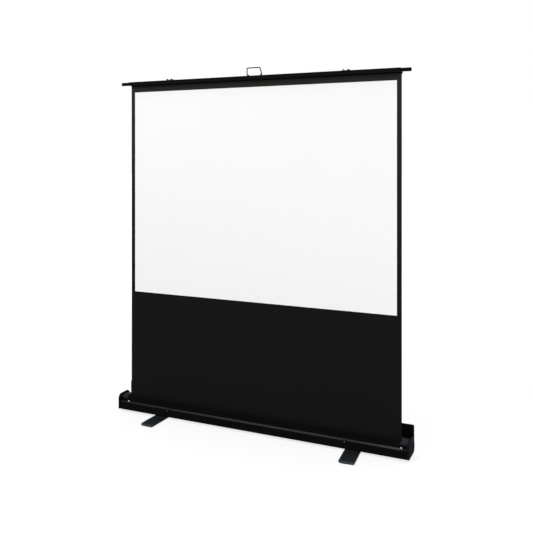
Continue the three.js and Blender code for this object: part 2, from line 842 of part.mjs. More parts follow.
function catchPlate() {
  const out = (distance, up) => [...onPanel(seatGap + distance, up), 0];
  const noseBottom = latchHeight + latchWireRadius + seatGap;
  const outline = roundedOutline([
    out(0, catchPlateBottom),
    out(catchPlateThickness, catchPlateBottom),
    out(catchPlateThickness, noseBottom),
    out(catchPlateThickness + catchNoseReach, noseBottom),
    out(catchPlateThickness, noseBottom + catchNoseHeight),
    out(catchPlateThickness, catchPlateTop),
    out(0, catchPlateTop),
  ]);
  const [y, z] = onPanel(0, rivetUp);
  const hole = turned(rod(rivetRadius + runGap, -overrun, overrun), pinSides).rotateX(-panelLean).translate(0, y, z);
  return cut(alongX(outline, -catchPlateWidth / 2, catchPlateWidth / 2), hole);
}

function catchRivet() {
  const [y, z] = onPanel(0, rivetUp);
  const outer = -(seatGap + catchPlateThickness + seatGap);
  const inner = channelWall / Math.cos(panelLean) + seatGap;
  return turned([
    [0, outer - rivetHeadThickness],
    [rivetHeadRadius * 0.6, outer - rivetHeadThickness],
    [rivetHeadRadius, outer],
    [rivetRadius, outer],
    [rivetRadius, inner],
    [rivetHeadRadius, inner],
    [rivetHeadRadius, inner + rivetHeadThickness],
    [0, inner + rivetHeadThickness],
  ], pinSides).rotateX(-panelLean).translate(0, y, z);
}

function addLatches() {
  [['left', -latchX], ['right', latchX]].forEach(([name, x]) => {
    place(`latch_bracket_${name}`, latchBracket(), 'barBlack').position.x = x;
    place(`latch_loop_${name}`, latchLoop(), 'barBlack').position.x = x;
    place(`latch_catch_${name}`, catchPlate(), 'caseBlack').position.x = x;
    place(`catch_rivet_${name}`, catchRivet(), 'barBlack').position.x = x;
  });
}

// Handle

const handleEarThickness = 2.5;
const handleEarRadius = 5.2;
const handlePlateHalfDepth = 9;
const handlePlateThickness = 1.5;
const handleEnd = 3;
const handleBend = 2 * handleWireRadius;
const handleEarX = handleHalfWidth - handleBend - seatGap - handleEarThickness;

function handleBase() {
  const plateBottom = barTop + seatGap;
  const earTop = barTop + handlePivotRise + handleEarRadius;
  const ear = roundedOutline([
    [handleY - handlePlateHalfDepth, plateBottom, 0],
    [handleY + handlePlateHalfDepth, plateBottom, 0],
    [handleY + handleEarRadius, earTop, handleEarRadius / 2],
    [handleY - handleEarRadius, earTop, handleEarRadius / 2],
  ]);
  const halfLength = handleEarX + handleEarThickness;
  const plate = box(-halfLength, halfLength, handleY - handlePlateHalfDepth, handleY + handlePlateHalfDepth,
    plateBottom, plateBottom + handlePlateThickness);
  const bore = turnedX(rod(handleWireRadius + runGap, -2 * handleEarX, 2 * handleEarX), handleY,
    barTop + handlePivotRise, pinSides);
  return cut(joined(plate, alongX(ear, handleEarX, halfLength), alongX(ear, -halfLength, -handleEarX)), bore);
}

// The bail leans towards the viewer, as it is left after carrying
function handleBail() {
  const end = handleEarX - handleEnd;
  const point = (x, along) => new THREE.Vector3(x, handleY - along * Math.sin(handleLean),
    barTop + handlePivotRise + along * Math.cos(handleLean));
  const wireSides = 12;
  return bentWire([
    point(-end, 0),
    point(-handleHalfWidth, 0),
    point(-handleTopHalfWidth, handleLength),
    point(handleTopHalfWidth, handleLength),
    point(handleHalfWidth, 0),
    point(end, 0),
  ], handleWireRadius, handleBend, wireSides, handleWireRadius);
}

function addHandle() {
  place('handle_base', handleBase(), 'barBlack');
  place('handle_bail', handleBail(), 'barBlack');
}

addCase();
addFeet();
addRoller();
addFabric();
addTopBar();
addArms();
addLiftPins();
addWheels();
addRails();
addBrackets();
addLatches();
addHandle();

export default screen;
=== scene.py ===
# %% [markdown]
# # A portable projector screen, standing open
# The real thing is a long black aluminium case on two swivel feet. A spring roller inside it
# holds the cloth, and a folding lift behind the cloth pushes a black bar up to head height.
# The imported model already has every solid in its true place. This file dresses it: each cell
# makes one piece or one finish, and says why it is made in that way.

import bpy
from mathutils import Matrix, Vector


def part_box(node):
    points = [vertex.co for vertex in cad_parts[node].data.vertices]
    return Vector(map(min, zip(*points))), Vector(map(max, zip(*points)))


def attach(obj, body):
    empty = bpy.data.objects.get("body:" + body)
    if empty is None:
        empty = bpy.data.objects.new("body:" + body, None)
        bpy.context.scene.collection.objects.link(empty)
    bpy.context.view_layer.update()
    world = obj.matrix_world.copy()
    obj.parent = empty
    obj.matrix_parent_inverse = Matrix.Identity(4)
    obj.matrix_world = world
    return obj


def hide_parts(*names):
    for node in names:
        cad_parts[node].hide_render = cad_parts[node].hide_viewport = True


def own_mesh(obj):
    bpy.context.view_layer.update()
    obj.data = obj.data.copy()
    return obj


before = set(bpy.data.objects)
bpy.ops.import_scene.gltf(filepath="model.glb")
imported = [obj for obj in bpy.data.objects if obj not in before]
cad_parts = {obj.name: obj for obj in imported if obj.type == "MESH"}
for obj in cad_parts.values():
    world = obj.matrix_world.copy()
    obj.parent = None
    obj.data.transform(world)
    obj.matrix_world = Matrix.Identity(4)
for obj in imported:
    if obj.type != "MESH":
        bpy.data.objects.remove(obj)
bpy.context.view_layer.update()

# %% Tools and units
import math

import bmesh
import bpy
from mathutils import Matrix, Vector

MM = 0.001


def low(node):
    return Vector(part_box(node)[0])


def high(node):
    return Vector(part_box(node)[1])


print("the bar's top is at", round(high("top_bar_profile").z, 4), "m")

# %% [markdown]
# ## The camera
# The photo was taken from eye height, a little to the right, with the camera held level: the
# screen's upright edges stay upright. A level camera with its lens shifted down keeps them so,
# where a tilted camera would make them lean.

# %% Camera
PHOTO_WIDTH = 533
FOCAL_PIXELS = 693
HORIZON_ROW = 159.2
CAMERA_PLACE = (1.759, -3.724, 1.6105)
CAMERA_YAW = math.radians(24.33)

lens = bpy.data.cameras.new("photo_lens")
lens.sensor_width = 36
lens.lens = FOCAL_PIXELS / PHOTO_WIDTH * lens.sensor_width
lens.shift_y = (HORIZON_ROW - PHOTO_WIDTH / 2) / PHOTO_WIDTH
lens.clip_start = 0.05
camera = bpy.data.objects.new("photo_camera", lens)
camera.location = CAMERA_PLACE
camera.rotation_euler = (math.pi / 2, 0, CAMERA_YAW)
bpy.context.scene.collection.objects.link(camera)
bpy.context.scene.camera = camera
bpy.context.scene.view_settings.view_transform = "Standard"
print("lens", round(lens.lens, 2), "mm, shifted by", round(lens.shift_y, 4))

# %% [markdown]
# ## Shader sums written as sums
# A finish is a small network of nodes. Wrapping a socket in a class that knows +, -, * and /
# lets the network be written as an ordinary expression, which is far easier to read than a
# list of links. Everything that isn't arithmetic comes from one method, so each kind of node
# is made in the same way.


# %% Signals
class Signal:
    """One value on its way through a shader."""

    def __init__(self, tree, socket):
        self.tree = tree
        self.socket = socket

    def _math(self, operation, *values):
        return add_node(self.tree, "Math", {"operation": operation}, dict(enumerate(values)))

    def __add__(self, other):
        return self._math("ADD", self, other)

    def __radd__(self, other):
        return self._math("ADD", other, self)

    def __sub__(self, other):
        return self._math("SUBTRACT", self, other)

    def __rsub__(self, other):
        return self._math("SUBTRACT", other, self)

    def __mul__(self, other):
        return self._math("MULTIPLY", self, other)

    def __rmul__(self, other):
        return self._math("MULTIPLY", other, self)

    def __truediv__(self, other):
        return self._math("DIVIDE", self, other)

    def __pow__(self, other):
        return self._math("POWER", self, other)

    def at_least(self, other):
        return self._math("MAXIMUM", self, other)

    def at_most(self, other):
        return self._math("MINIMUM", self, other)

    def size(self):
        return self._math("ABSOLUTE", self)

    def wave(self):
        return self._math("SINE", self)

    def above(self, limit):
        return self._math("GREATER_THAN", self, limit)

    def clamped(self):
        """The same value, kept between 0 and 1."""
        return self.at_least(0).at_most(1)


def feed(tree, socket, value):
    if isinstance(value, Signal):
        tree.links.new(value.socket, socket)
    elif value is not None:
        socket.default_value = value


def add_node(tree, kind, settings=None, sockets=None, output=0):
    """Any node of any shader: its settings come first, then the values or links of its sockets."""
    node = tree.nodes.new("ShaderNode" + kind)
    for name, value in (settings or {}).items():
        setattr(node, name, value)
    for name, value in (sockets or {}).items():
        feed(tree, node.inputs[name], value)
    return Signal(tree, node.outputs[output])


print("signals add, subtract, multiply and divide")


# %% Finishes
class Finish:
    """A material with one main shader, and a method that adds any other node."""

    def __init__(self, name, **sockets):
        self.material = bpy.data.materials.new(name)
        self.material.use_nodes = True
        self.tree = self.material.node_tree
        self.shader = self.tree.nodes["Principled BSDF"]
        self.set(**sockets)

    def set(self, **sockets):
        for name, value in sockets.items():
            feed(self.tree, self.shader.inputs[name.replace("_", " ")], value)

    def node(self, kind, settings=None, sockets=None, output=0):
        return add_node(self.tree, kind, settings, sockets, output)

    def place(self):
        """The point being shaded, in metres on the object."""
        return self.node("TexCoord", output="Object")

    def parts(self, vector):
        split = self.node("SeparateXYZ", sockets={0: vector})
        outputs = split.socket.node.outputs
        return [Signal(self.tree, outputs[index]) for index in range(3)]

    def noise(self, scale, detail=3, roughness=0.55, vector=None):
        sockets = {"Scale": scale, "Detail": detail, "Roughness": roughness}
        sockets["Vector"] = vector or self.place()
        return self.node("TexNoise", sockets=sockets)

    def stretched(self, x, y, z):
        """The place with each direction scaled, for grain that runs one way."""
        settings = {"operation": "MULTIPLY"}
        return self.node("VectorMath", settings, {0: self.place(), 1: (x, y, z)})

    def blend(self, share, first, second):
        """A mix of two colours. Sockets 6 and 7 are a Mix node's colours, output 2 its result."""
        sockets = {0: share, 6: first, 7: second}
        return self.node("Mix", {"data_type": "RGBA"}, sockets, output=2)

    def bump(self, height, distance, strength=1.0):
        sockets = {"Height": height, "Distance": distance, "Strength": strength}
        self.set(Normal=self.node("Bump", sockets=sockets))


def times(colour, factor):
    """The same colour, darker or brighter."""
    return tuple(factor * part for part in colour[:3]) + (1,)


print("half of white is", times((1, 1, 1, 1), 0.5))

# %% [markdown]
# ## Black powder coat
# The case is extruded aluminium with a satin black coat. Close up, such a coat has the fine
# texture of orange peel, and handling leaves broad patches that are a little glossier. The
# broad patches come from large noise and the peel from small noise in the bump. Corners wear
# first, so most coats have a second finish, a little greyer and scuffed, which the rounded
# edges of a piece take when they are made. Two more masks, made from the place on the object,
# follow a direction: the feet turn lighter towards their tips, a painted sheen with some dust,
# and the case's rim is painted brighter towards the right as a painted highlight, and darker
# towards its left end and beyond the studs as painted shade.


# %% Coated metal
PATCH_WAVES, DUST_WAVES, SCRATCH_WAVES, PEEL_WAVES = 7, 60, 110, 900
PEEL_HEIGHT = 0.04 * MM
# The lighter colour of the feet's tips: painted sheen with some dust.
TIP_SHEEN_AND_DUST = (0.1, 0.105, 0.115, 1)
BARE_SPOT = (0.22, 0.22, 0.215, 1)
# These three place the rim's painted highlight, brighter from the first towards the right, and its painted
# shade, towards the left end and beyond the stud, along X in metres.
RIM_HIGHLIGHT_FROM, STUD_AT, LEFT_END = 0.68, 0.9, 0.95


def coated_metal(name, colour, roughness, gloss, scuffs=0.0, tip_sheen_and_dust=0.0, painted_rim_light=False):
    """A satin coat: patches in the colour, and fine peel in the bump and the roughness."""
    finish = Finish(name)
    patches = finish.noise(PATCH_WAVES, detail=4)
    fine = finish.noise(PEEL_WAVES, detail=2)
    tint = finish.blend(patches, colour, times(colour, 1.6))
    # Painted sheen with dust: lighter towards the feet's tips, further than 0.1 m from the case along Y, in
    # a noisy pattern.
    if tip_sheen_and_dust:
        along = finish.parts(finish.place())[1].size()
        dust = ((along - 0.1) * 8).clamped() * tip_sheen_and_dust * finish.noise(DUST_WAVES, detail=4)
        tint = finish.blend(dust, tint, TIP_SHEEN_AND_DUST)
    # Painted highlight and painted shade on the rim: brighter towards the right, darker towards the left end
    # and beyond the stud.
    if painted_rim_light:
        along = finish.parts(finish.place())[0]
        painted_highlight_right = ((along - RIM_HIGHLIGHT_FROM) * 5).clamped()
        away_from_left = ((along + LEFT_END) * 1.2).clamped()
        before_stud = ((along - STUD_AT) * -60).clamped()
        tint = finish.blend(painted_highlight_right, tint, times(colour, 2.6))
        tint = finish.blend(away_from_left * before_stud, times(colour, 0.2), tint)
    if scuffs:
        scratches = finish.noise(SCRATCH_WAVES, detail=5, roughness=0.7)
        worn = ((scratches - 0.56) * 9).clamped() * scuffs
        tint = finish.blend(worn, tint, BARE_SPOT)
    finish.set(Base_Color=tint, Roughness=roughness + (patches - 0.5) * 0.14 + (fine - 0.5) * 0.06)
    finish.set(Specular_IOR_Level=gloss)
    finish.bump(fine, PEEL_HEIGHT)
    return finish.material


case_black = coated_metal("case_black", (0.0019, 0.0022, 0.0018, 1), 0.46, gloss=0.013)
case_edge = coated_metal("case_edge", (0.0045, 0.005, 0.0045, 1), 0.38, gloss=0.06, scuffs=0.15)
# The rim's coat is lighter than the case's: a painted highlight line along the rounded rim, with a little
# wear.
rim_painted_highlight = coated_metal("rim_painted_highlight", (0.014, 0.0155, 0.0145, 1), 0.36, gloss=0.12, scuffs=0.1,
                         painted_rim_light=True)
stud_black = coated_metal("stud_black", (0.05, 0.054, 0.05, 1), 0.34, gloss=0.3, scuffs=0.5)
bar_black = coated_metal("bar_black", (0.0029, 0.0035, 0.0029, 1), 0.48, gloss=0.014)
bar_edge = coated_metal("bar_edge", (0.0035, 0.004, 0.0035, 1), 0.4, gloss=0.05, scuffs=0.1)
foot_black = coated_metal("foot_black", (0.0085, 0.0102, 0.0122, 1), 0.42, gloss=0.03, tip_sheen_and_dust=0.25)
foot_edge = coated_metal("foot_edge", (0.006, 0.0066, 0.0075, 1), 0.38, gloss=0.06, scuffs=0.3)
# Painted highlight: a lighter coat, with scuffs, for the sloping tips of the feet.
foot_tip_painted_highlight = coated_metal("foot_tip_painted_highlight", (0.034, 0.037, 0.04, 1), 0.38, gloss=0.08, scuffs=0.4)
wire_black = coated_metal("wire_black", (0.0035, 0.0035, 0.0038, 1), 0.36, gloss=0.06)
print("coated finishes:", case_black.name, bar_black.name, foot_black.name, wire_black.name)

# %% [markdown]
# ## Moulded plastic, rubber and nylon
# The end caps, plugs and knobs are moulded. A mould leaves a fine even grain, so the finish
# is one small noise in the bump and almost no change of colour. The bearing blocks get a greyer
# finish, painted light where light from above falls on them beside the cloth. Rubber is rougher and dusty.


# %% Moulded pieces
PIT_WAVES, CLOUD_WAVES = 1400, 18
SHOE_DUST = (0.16, 0.155, 0.15, 1)


def moulded(name, colour, roughness, grain, gloss, dust=0.0):
    """Plastic or rubber. The grain is the depth of the mould's pits, in millimetres."""
    finish = Finish(name)
    pits = finish.noise(PIT_WAVES, detail=2)
    clouds = finish.noise(CLOUD_WAVES, detail=3)
    dusty = (clouds - 0.45).at_least(0) * dust
    finish.set(Base_Color=finish.blend(dusty, colour, SHOE_DUST), Roughness=roughness + (clouds - 0.5) * 0.1)
    finish.set(Specular_IOR_Level=gloss)
    finish.bump(pits, grain * MM)
    return finish.material


cap_plastic = moulded("cap_plastic", (0.0045, 0.005, 0.0056, 1), 0.55, 0.03, gloss=0.004)
cap_edge = moulded("cap_edge", (0.02, 0.022, 0.026, 1), 0.42, 0.02, gloss=0.03)
# Painted light: a lighter grey for the bearing blocks and their covers, where light from above falls on
# them.
block_painted_light = moulded("block_painted_light", (0.02, 0.021, 0.0265, 1), 0.48, 0.03, gloss=0.03)
pad_rubber = moulded("pad_rubber", (0.006, 0.006, 0.006, 1), 0.8, 0.06, gloss=0.2, dust=0.7)
wheel_nylon = moulded("wheel_nylon", (0.62, 0.61, 0.56, 1), 0.42, 0.01, gloss=0.4)
print("moulded finishes:", cap_plastic.name, pad_rubber.name, wheel_nylon.name)

# %% [markdown]
# ## Bare metals
# Zinc-plated steel is bright with faint cloudy patches. Drawn aluminium keeps lines along the
# way that it was pulled, so its noise is stretched hard in one direction. Both are full metals:
# the colour is the colour of the reflection. The stretch counts the noise's waves per metre
# along X, Y and Z.


# %% Bare metal
METAL_CLOUD_WAVES = 24


def bare_metal(name, colour, roughness, stretch, grain):
    """Steel or aluminium. The grain is the depth of its lines, in millimetres."""
    finish = Finish(name, Metallic=1.0)
    lines = finish.noise(1, detail=3, vector=finish.stretched(*stretch))
    clouds = finish.noise(METAL_CLOUD_WAVES, detail=3)
    finish.set(
        Base_Color=finish.blend(clouds * 0.5 + lines * 0.3, colour, times(colour, 0.72)),
        Roughness=roughness + (lines - 0.5) * 0.16 + (clouds - 0.5) * 0.1,
    )
    finish.bump(lines, grain * MM)
    return finish.material


zinc_edge = bare_metal("zinc_edge", (0.66, 0.67, 0.68, 1), 0.25, (300, 300, 300), 0.01)
zinc_steel = bare_metal("zinc_steel", (0.55, 0.56, 0.57, 1), 0.34, (400, 400, 400), 0.01)
aluminium_edge = bare_metal("aluminium_edge", (0.52, 0.53, 0.55, 1), 0.36, (6, 900, 900), 0.01)
drawn_aluminium = bare_metal("drawn_aluminium", (0.43, 0.45, 0.47, 1), 0.48, (6, 1500, 1500), 0.02)
tube_aluminium = bare_metal("tube_aluminium", (0.5, 0.51, 0.53, 1), 0.33, (6, 900, 900), 0.02)
print("bare metals:", zinc_steel.name, drawn_aluminium.name, tube_aluminium.name)

# %% [markdown]
# ## The screen cloth's finish
# The cloth is a woven base with a matt coating: white where the picture falls, and black
# print all round and below it. One finish does both, because it is one cloth. The white
# rectangle is a mask made from the place on the cloth, so its edges stay dead straight, and
# the weave is two crossed sine waves in the bump, about a third of a millimetre apart. The
# black is painted lighter upwards from the picture's bottom edge, as painted light from above,
# and is lightest near the bar.

# %% Cloth finish
PICTURE_WIDTH = 1707 * MM
PICTURE_HEIGHT = 1280 * MM
PICTURE_BOTTOM = 760 * MM
THREAD = 0.36 * MM
THREAD_HEIGHT = 0.03 * MM
BROAD_CLOUDS = 2.2
SLUB_WAVES = (60, 60, 700)
# The black goes from the first colour pair, low on the cloth, to the lighter second pair higher up: painted
# light from above.
PLAIN_BLACK = (0.0044, 0.005, 0.0043, 1), (0.0062, 0.0069, 0.006, 1)
PAINTED_LIGHT_BLACK = (0.0175, 0.018, 0.016, 1), (0.0235, 0.024, 0.0215, 1)
WHITE = (0.9, 0.9, 0.895, 1), (0.93, 0.93, 0.925, 1)


def cloth_finish(name, with_picture):
    """The cloth's front with the picture area, or its plain black back."""
    finish = Finish(name, Specular_IOR_Level=0.06)
    across, _, up = finish.parts(finish.place())
    turns = 2 * math.pi / THREAD
    weave = (across * turns).wave() * (up * turns).wave()
    clouds = finish.noise(BROAD_CLOUDS, detail=4)
    slubs = finish.noise(1, detail=2, vector=finish.stretched(*SLUB_WAVES))
    plain_black = finish.blend(clouds * 0.7 + slubs * 0.3, *PLAIN_BLACK)
    painted_light_black = finish.blend(clouds * 0.7 + slubs * 0.3, *PAINTED_LIGHT_BLACK)
    # Painted light from above: the black turns lighter from the picture's bottom edge upwards.
    height = ((up - PICTURE_BOTTOM) / PICTURE_HEIGHT).clamped() ** 1.3
    tint = finish.blend(height, plain_black, painted_light_black)
    if with_picture:
        inside_x = (PICTURE_WIDTH / 2 - across.size()).above(0)
        inside_z = (PICTURE_HEIGHT / 2 - (up - PICTURE_BOTTOM - PICTURE_HEIGHT / 2).size()).above(0)
        white = finish.blend(clouds, *WHITE)
        tint = finish.blend(inside_x * inside_z, tint, white)
    finish.set(Base_Color=tint, Roughness=0.86 + (clouds - 0.5) * 0.12)
    finish.bump(weave, THREAD_HEIGHT, strength=0.5)
    return finish.material


picture_cloth = cloth_finish("picture_cloth", True)
black_cloth = cloth_finish("black_cloth", False)
print("white area:", PICTURE_WIDTH, "by", PICTURE_HEIGHT, "m")

# %% [markdown]
# ## Dressing the solids
# A solid whose shape is already right keeps its mesh and only gets a finish. The table below
# says which finish goes on which solid.

# %% Finishes on the solids
dressed = {
    case_black: ["base_channel", "rear_panel", "latch_catch_left", "latch_catch_right"],
    bar_black: ["top_bar_profile", "top_bar_tube", "fabric_clamp_strip"],
    foot_black: ["foot_left", "foot_right"],
    wire_black: [
        "handle_bail", "handle_base", "latch_bracket_left", "latch_bracket_right",
        "latch_loop_left", "latch_loop_right", "catch_rivet_left", "catch_rivet_right",
        "cap_screw_front_left", "cap_screw_front_right", "cap_screw_back_left", "cap_screw_back_right",
    ],
    cap_plastic: [
        "end_flange_left", "end_flange_right", "bearing_block_left", "bearing_block_right",
        "bar_knob_left", "bar_knob_right", "roller_plug_left", "roller_plug_right",
    ],
    pad_rubber: ["foot_pad_left_front", "foot_pad_left_back", "foot_pad_right_front", "foot_pad_right_back"],
    zinc_steel: [
        "foot_bolt_left", "foot_bolt_right", "roller_spring", "spring_arbor",
        "cross_pin_lower", "cross_pin_upper", "elbow_pin_left", "elbow_pin_right",
        "base_pivot_bracket", "base_pivot_pin", "top_pivot_bracket", "top_pivot_pin",
        "wheel_axle_lower", "wheel_axle_upper",
    ],
    drawn_aluminium: [
        "lift_arm_lower_front", "lift_arm_lower_back", "lift_arm_upper_front", "lift_arm_upper_back",
        "base_rail", "top_rail",
    ],
    tube_aluminium: ["roller_tube"],
    wheel_nylon: ["wheel_lower", "wheel_upper"],
}
for material, nodes in dressed.items():
    for node in nodes:
        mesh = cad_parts[node].data
        mesh.materials.clear()
        mesh.materials.append(material)
print("dressed", sum(len(nodes) for nodes in dressed.values()), "solids")

# %% [markdown]
# ## The hanging cloth
# The cloth is one sheet, 1.76 m wide, held tight between the roller and the bar. It is never
# quite flat: the side edges, which carry no load, curl back a little, and faint broad waves
# run up from the roller. A grid of points, moved back and forth by a few smooth sums, gives
# exactly that, and a second layer of points behind it gives the sheet its thickness. That
# back layer is black, so no light comes through the picture.


# %% Pieces from points and faces
SHARP_ANGLE = math.radians(28)


def piece(name, points, faces, coats, edge=0.0, rounds=3, smooth_angle=40):
    """A mesh object. With an edge width its sharp edges are rounded and take the last coat."""
    coats = coats if isinstance(coats, (list, tuple)) else [coats]
    work = bmesh.new()
    corners = [work.verts.new(point) for point in points]
    for face in faces:
        work.faces.new([corners[index] for index in face])
    bmesh.ops.recalc_face_normals(work, faces=work.faces)
    if edge:
        sharp = [e for e in work.edges if e.is_manifold and e.calc_face_angle() > SHARP_ANGLE]
        bmesh.ops.bevel(work, geom=sharp, offset=edge, segments=rounds, profile=0.5,
                        affect="EDGES", clamp_overlap=True, material=len(coats) - 1)
    mesh = bpy.data.meshes.new(name)
    work.to_mesh(mesh)
    work.free()
    mesh.polygons.foreach_set("use_smooth", [True] * len(mesh.polygons))
    mesh.set_sharp_from_angle(angle=math.radians(smooth_angle))
    for coat in coats:
        mesh.materials.append(coat)
    new = bpy.data.objects.new(name, mesh)
    bpy.context.scene.collection.objects.link(new)
    if edge:
        new.modifiers.new("even_shading", "WEIGHTED_NORMAL").keep_sharp = True
    return new


def sheet_of(name, columns, rows, thickness, place, coats):
    """A thin sheet: place(across, up) gives a point's middle, both counted from 0 to 1."""
    points, faces = [], []
    for side in (-0.5, 0.5):
        for row in range(rows + 1):
            for column in range(columns + 1):
                x, y, z = place(column / columns, row / rows)
                points.append((x, y + side * thickness, z))
    layer = (rows + 1) * (columns + 1)

    def at(side, row, column):
        return side * layer + row * (columns + 1) + column

    def join_layers(first, second):
        faces.append([at(0, *first), at(0, *second), at(1, *second), at(1, *first)])

    for row in range(rows):
        for column in range(columns):
            for side in (0, 1):
                faces.append([at(side, row, column), at(side, row, column + 1),
                              at(side, row + 1, column + 1), at(side, row + 1, column)])
    for row in range(rows):
        for column in (0, columns):
            join_layers((row, column), (row + 1, column))
    for column in range(columns):
        for row in (0, rows):
            join_layers((row, column), (row, column + 1))
    return piece(name, points, faces, coats, smooth_angle=60)


def recoat(made_piece, coat, chosen):
    """Gives the faces that a rule chooses another of the piece's coats, counted from 0."""
    for face in made_piece.data.polygons:
        if chosen(face):
            face.material_index = coat


print("pieces are made from points and faces")

# %% Hanging cloth
cloth_low, cloth_high = low("screen_fabric"), high("screen_fabric")
cloth_width = cloth_high.x - cloth_low.x
cloth_length = cloth_high.z - cloth_low.z
cloth_y = (cloth_low.y + cloth_high.y) / 2
CLOTH_THICKNESS = 0.5 * MM
CURL = 1.2 * MM
RIPPLE = 0.35 * MM
CLOTH_SQUARES = 96


def cloth_point(across, up):
    """A point of the sheet. It is free in the middle of its height, and held at both ends."""
    x = cloth_low.x + across * cloth_width
    z = cloth_low.z + up * cloth_length
    free = math.sin(math.pi * up) ** 0.7
    curl = CURL * free * abs(2 * across - 1) ** 14
    wave = math.sin(5.2 * x + 0.8 * z) + 0.6 * math.sin(11.3 * x - 0.7 * z + 1.1)
    ripple = RIPPLE * free * (1 - 0.5 * up) * wave
    return x, cloth_y + curl + ripple, z


screen_cloth = sheet_of("screen_cloth", CLOTH_SQUARES, CLOTH_SQUARES, CLOTH_THICKNESS, cloth_point,
                        [picture_cloth, black_cloth])
recoat(screen_cloth, 1, lambda face: face.normal.y > 0.5)
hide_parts("screen_fabric")
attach(screen_cloth, "case")
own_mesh(screen_cloth)
print("hanging cloth:", round(cloth_width, 3), "by", round(cloth_length, 3), "m")

# %% [markdown]
# ## The cloth left on the roller
# A roller is never wound off to its last turn, because the cloth would pull out of its seam.
# The few turns that stay are a spiral: each turn lies on the one before, one thickness
# further out. Sweeping that spiral along the roller shows its true edge at both ends.

# %% Wound cloth
roll_low, roll_high = low("fabric_roll"), high("fabric_roll")
roll_y = (roll_low.y + roll_high.y) / 2
roll_z = (roll_low.z + roll_high.z) / 2
roll_outer = (roll_high.z - roll_low.z) / 2
ROLL_TURNS = 2.75
ROLL_PITCH = 0.56 * MM
ROLL_CLOTH = 0.45 * MM
STEPS_PER_TURN = 48


def wound_cloth(name, coat):
    """A spiral strip, swept along the roller: an inner skin, an outer skin and their edges."""
    steps = round(ROLL_TURNS * STEPS_PER_TURN)
    points, faces = [], []
    for x in (roll_low.x, roll_high.x):
        for step in range(steps + 1):
            angle = 2 * math.pi * step / STEPS_PER_TURN
            middle = roll_outer - ROLL_CLOTH / 2 - ROLL_PITCH * step / STEPS_PER_TURN
            for side in (-0.5, 0.5):
                radius = middle + side * ROLL_CLOTH
                points.append((x, roll_y + radius * math.cos(angle), roll_z - radius * math.sin(angle)))
    ring = 2 * (steps + 1)
    for step in range(steps):
        inner, outer = 2 * step, 2 * step + 1
        faces.append([inner, inner + 2, ring + inner + 2, ring + inner])
        faces.append([outer, outer + 2, ring + outer + 2, ring + outer])
        faces.append([inner, outer, outer + 2, inner + 2])
        faces.append([ring + inner, ring + outer, ring + outer + 2, ring + inner + 2])
    for start in (0, 2 * steps):
        faces.append([start, start + 1, ring + start + 1, ring + start])
    return piece(name, points, faces, coat)


cloth_roll = wound_cloth("cloth_roll", black_cloth)
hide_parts("fabric_roll")
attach(cloth_roll, "roller")

# %% [markdown]
# ## Shapes that can be joined before they become pieces
# Nearly every hard piece here is one of three things: an extrusion, something turned on a
# lathe, or a bent wire. Each helper gives only points and faces, so several shapes can be put
# together, mirrored or moved first, and only then become one piece with rounded edges. Sizes
# are in millimetres, because that is how such parts are drawn.


# %% Outlines and extrusions
def rounded(corners, steps=6):
    """An outline through (across, up, radius) corners, each rounded by its radius."""
    outline = []
    for index, (across, up, radius) in enumerate(corners):
        corner = Vector((across, up))
        if not radius:
            outline.append(corner)
            continue
        to_last = (Vector(corners[index - 1][:2]) - corner).normalized()
        to_next = (Vector(corners[(index + 1) % len(corners)][:2]) - corner).normalized()
        half = to_last.angle(to_next) / 2
        centre = corner + (to_last + to_next).normalized() * radius / math.sin(half)
        first = corner + to_last * radius / math.tan(half) - centre
        last = corner + to_next * radius / math.tan(half) - centre
        for step in range(steps + 1):
            share = step / steps
            spoke = first * (1 - share) + last * share
            outline.append(centre + spoke.normalized() * radius)
    return outline


# A shape is drawn by two coordinates across an axis and one along it. These put them in order.
ALONG = {
    "x": lambda across, up, along: (along, across, up),
    "y": lambda across, up, along: (across, along, up),
    "z": lambda across, up, along: (across, up, along),
}


def extruded(outline, start, end, axis):
    """An outline pushed along an axis, with a face at each end."""
    place = ALONG[axis]
    count = len(outline)
    points = [Vector(place(a, b, along)) for along in (start, end) for a, b in outline]
    faces = [list(range(count)), list(range(count, 2 * count))]
    faces += [[i, (i + 1) % count, count + (i + 1) % count, count + i] for i in range(count)]
    return points, faces


def dished(outer, inner, start, end, axis, sink):
    """An extrusion whose last face is sunk inside a second outline with as many points."""
    place = ALONG[axis]
    count = len(outer)
    rings = [(outer, start), (outer, end), (inner, end), (inner, end - sink)]
    points = [Vector(place(a, b, along)) for outline, along in rings for a, b in outline]
    faces = [list(range(count)), list(range(3 * count, 4 * count))]
    for ring in range(3):
        for i in range(count):
            after = (i + 1) % count
            faces.append([ring * count + i, ring * count + after,
                          (ring + 1) * count + after, (ring + 1) * count + i])
    return points, faces


def block(x, y, z):
    """A plain box from a pair of limits for each axis. Its edges are rounded later."""
    outline = [(y[0], z[0]), (y[1], z[0]), (y[1], z[1]), (y[0], z[1])]
    return extruded(outline, x[0], x[1], "x")


print("a rounded square has", len(rounded([(0, 0, 1), (9, 0, 1), (9, 9, 1), (0, 9, 1)])), "points")


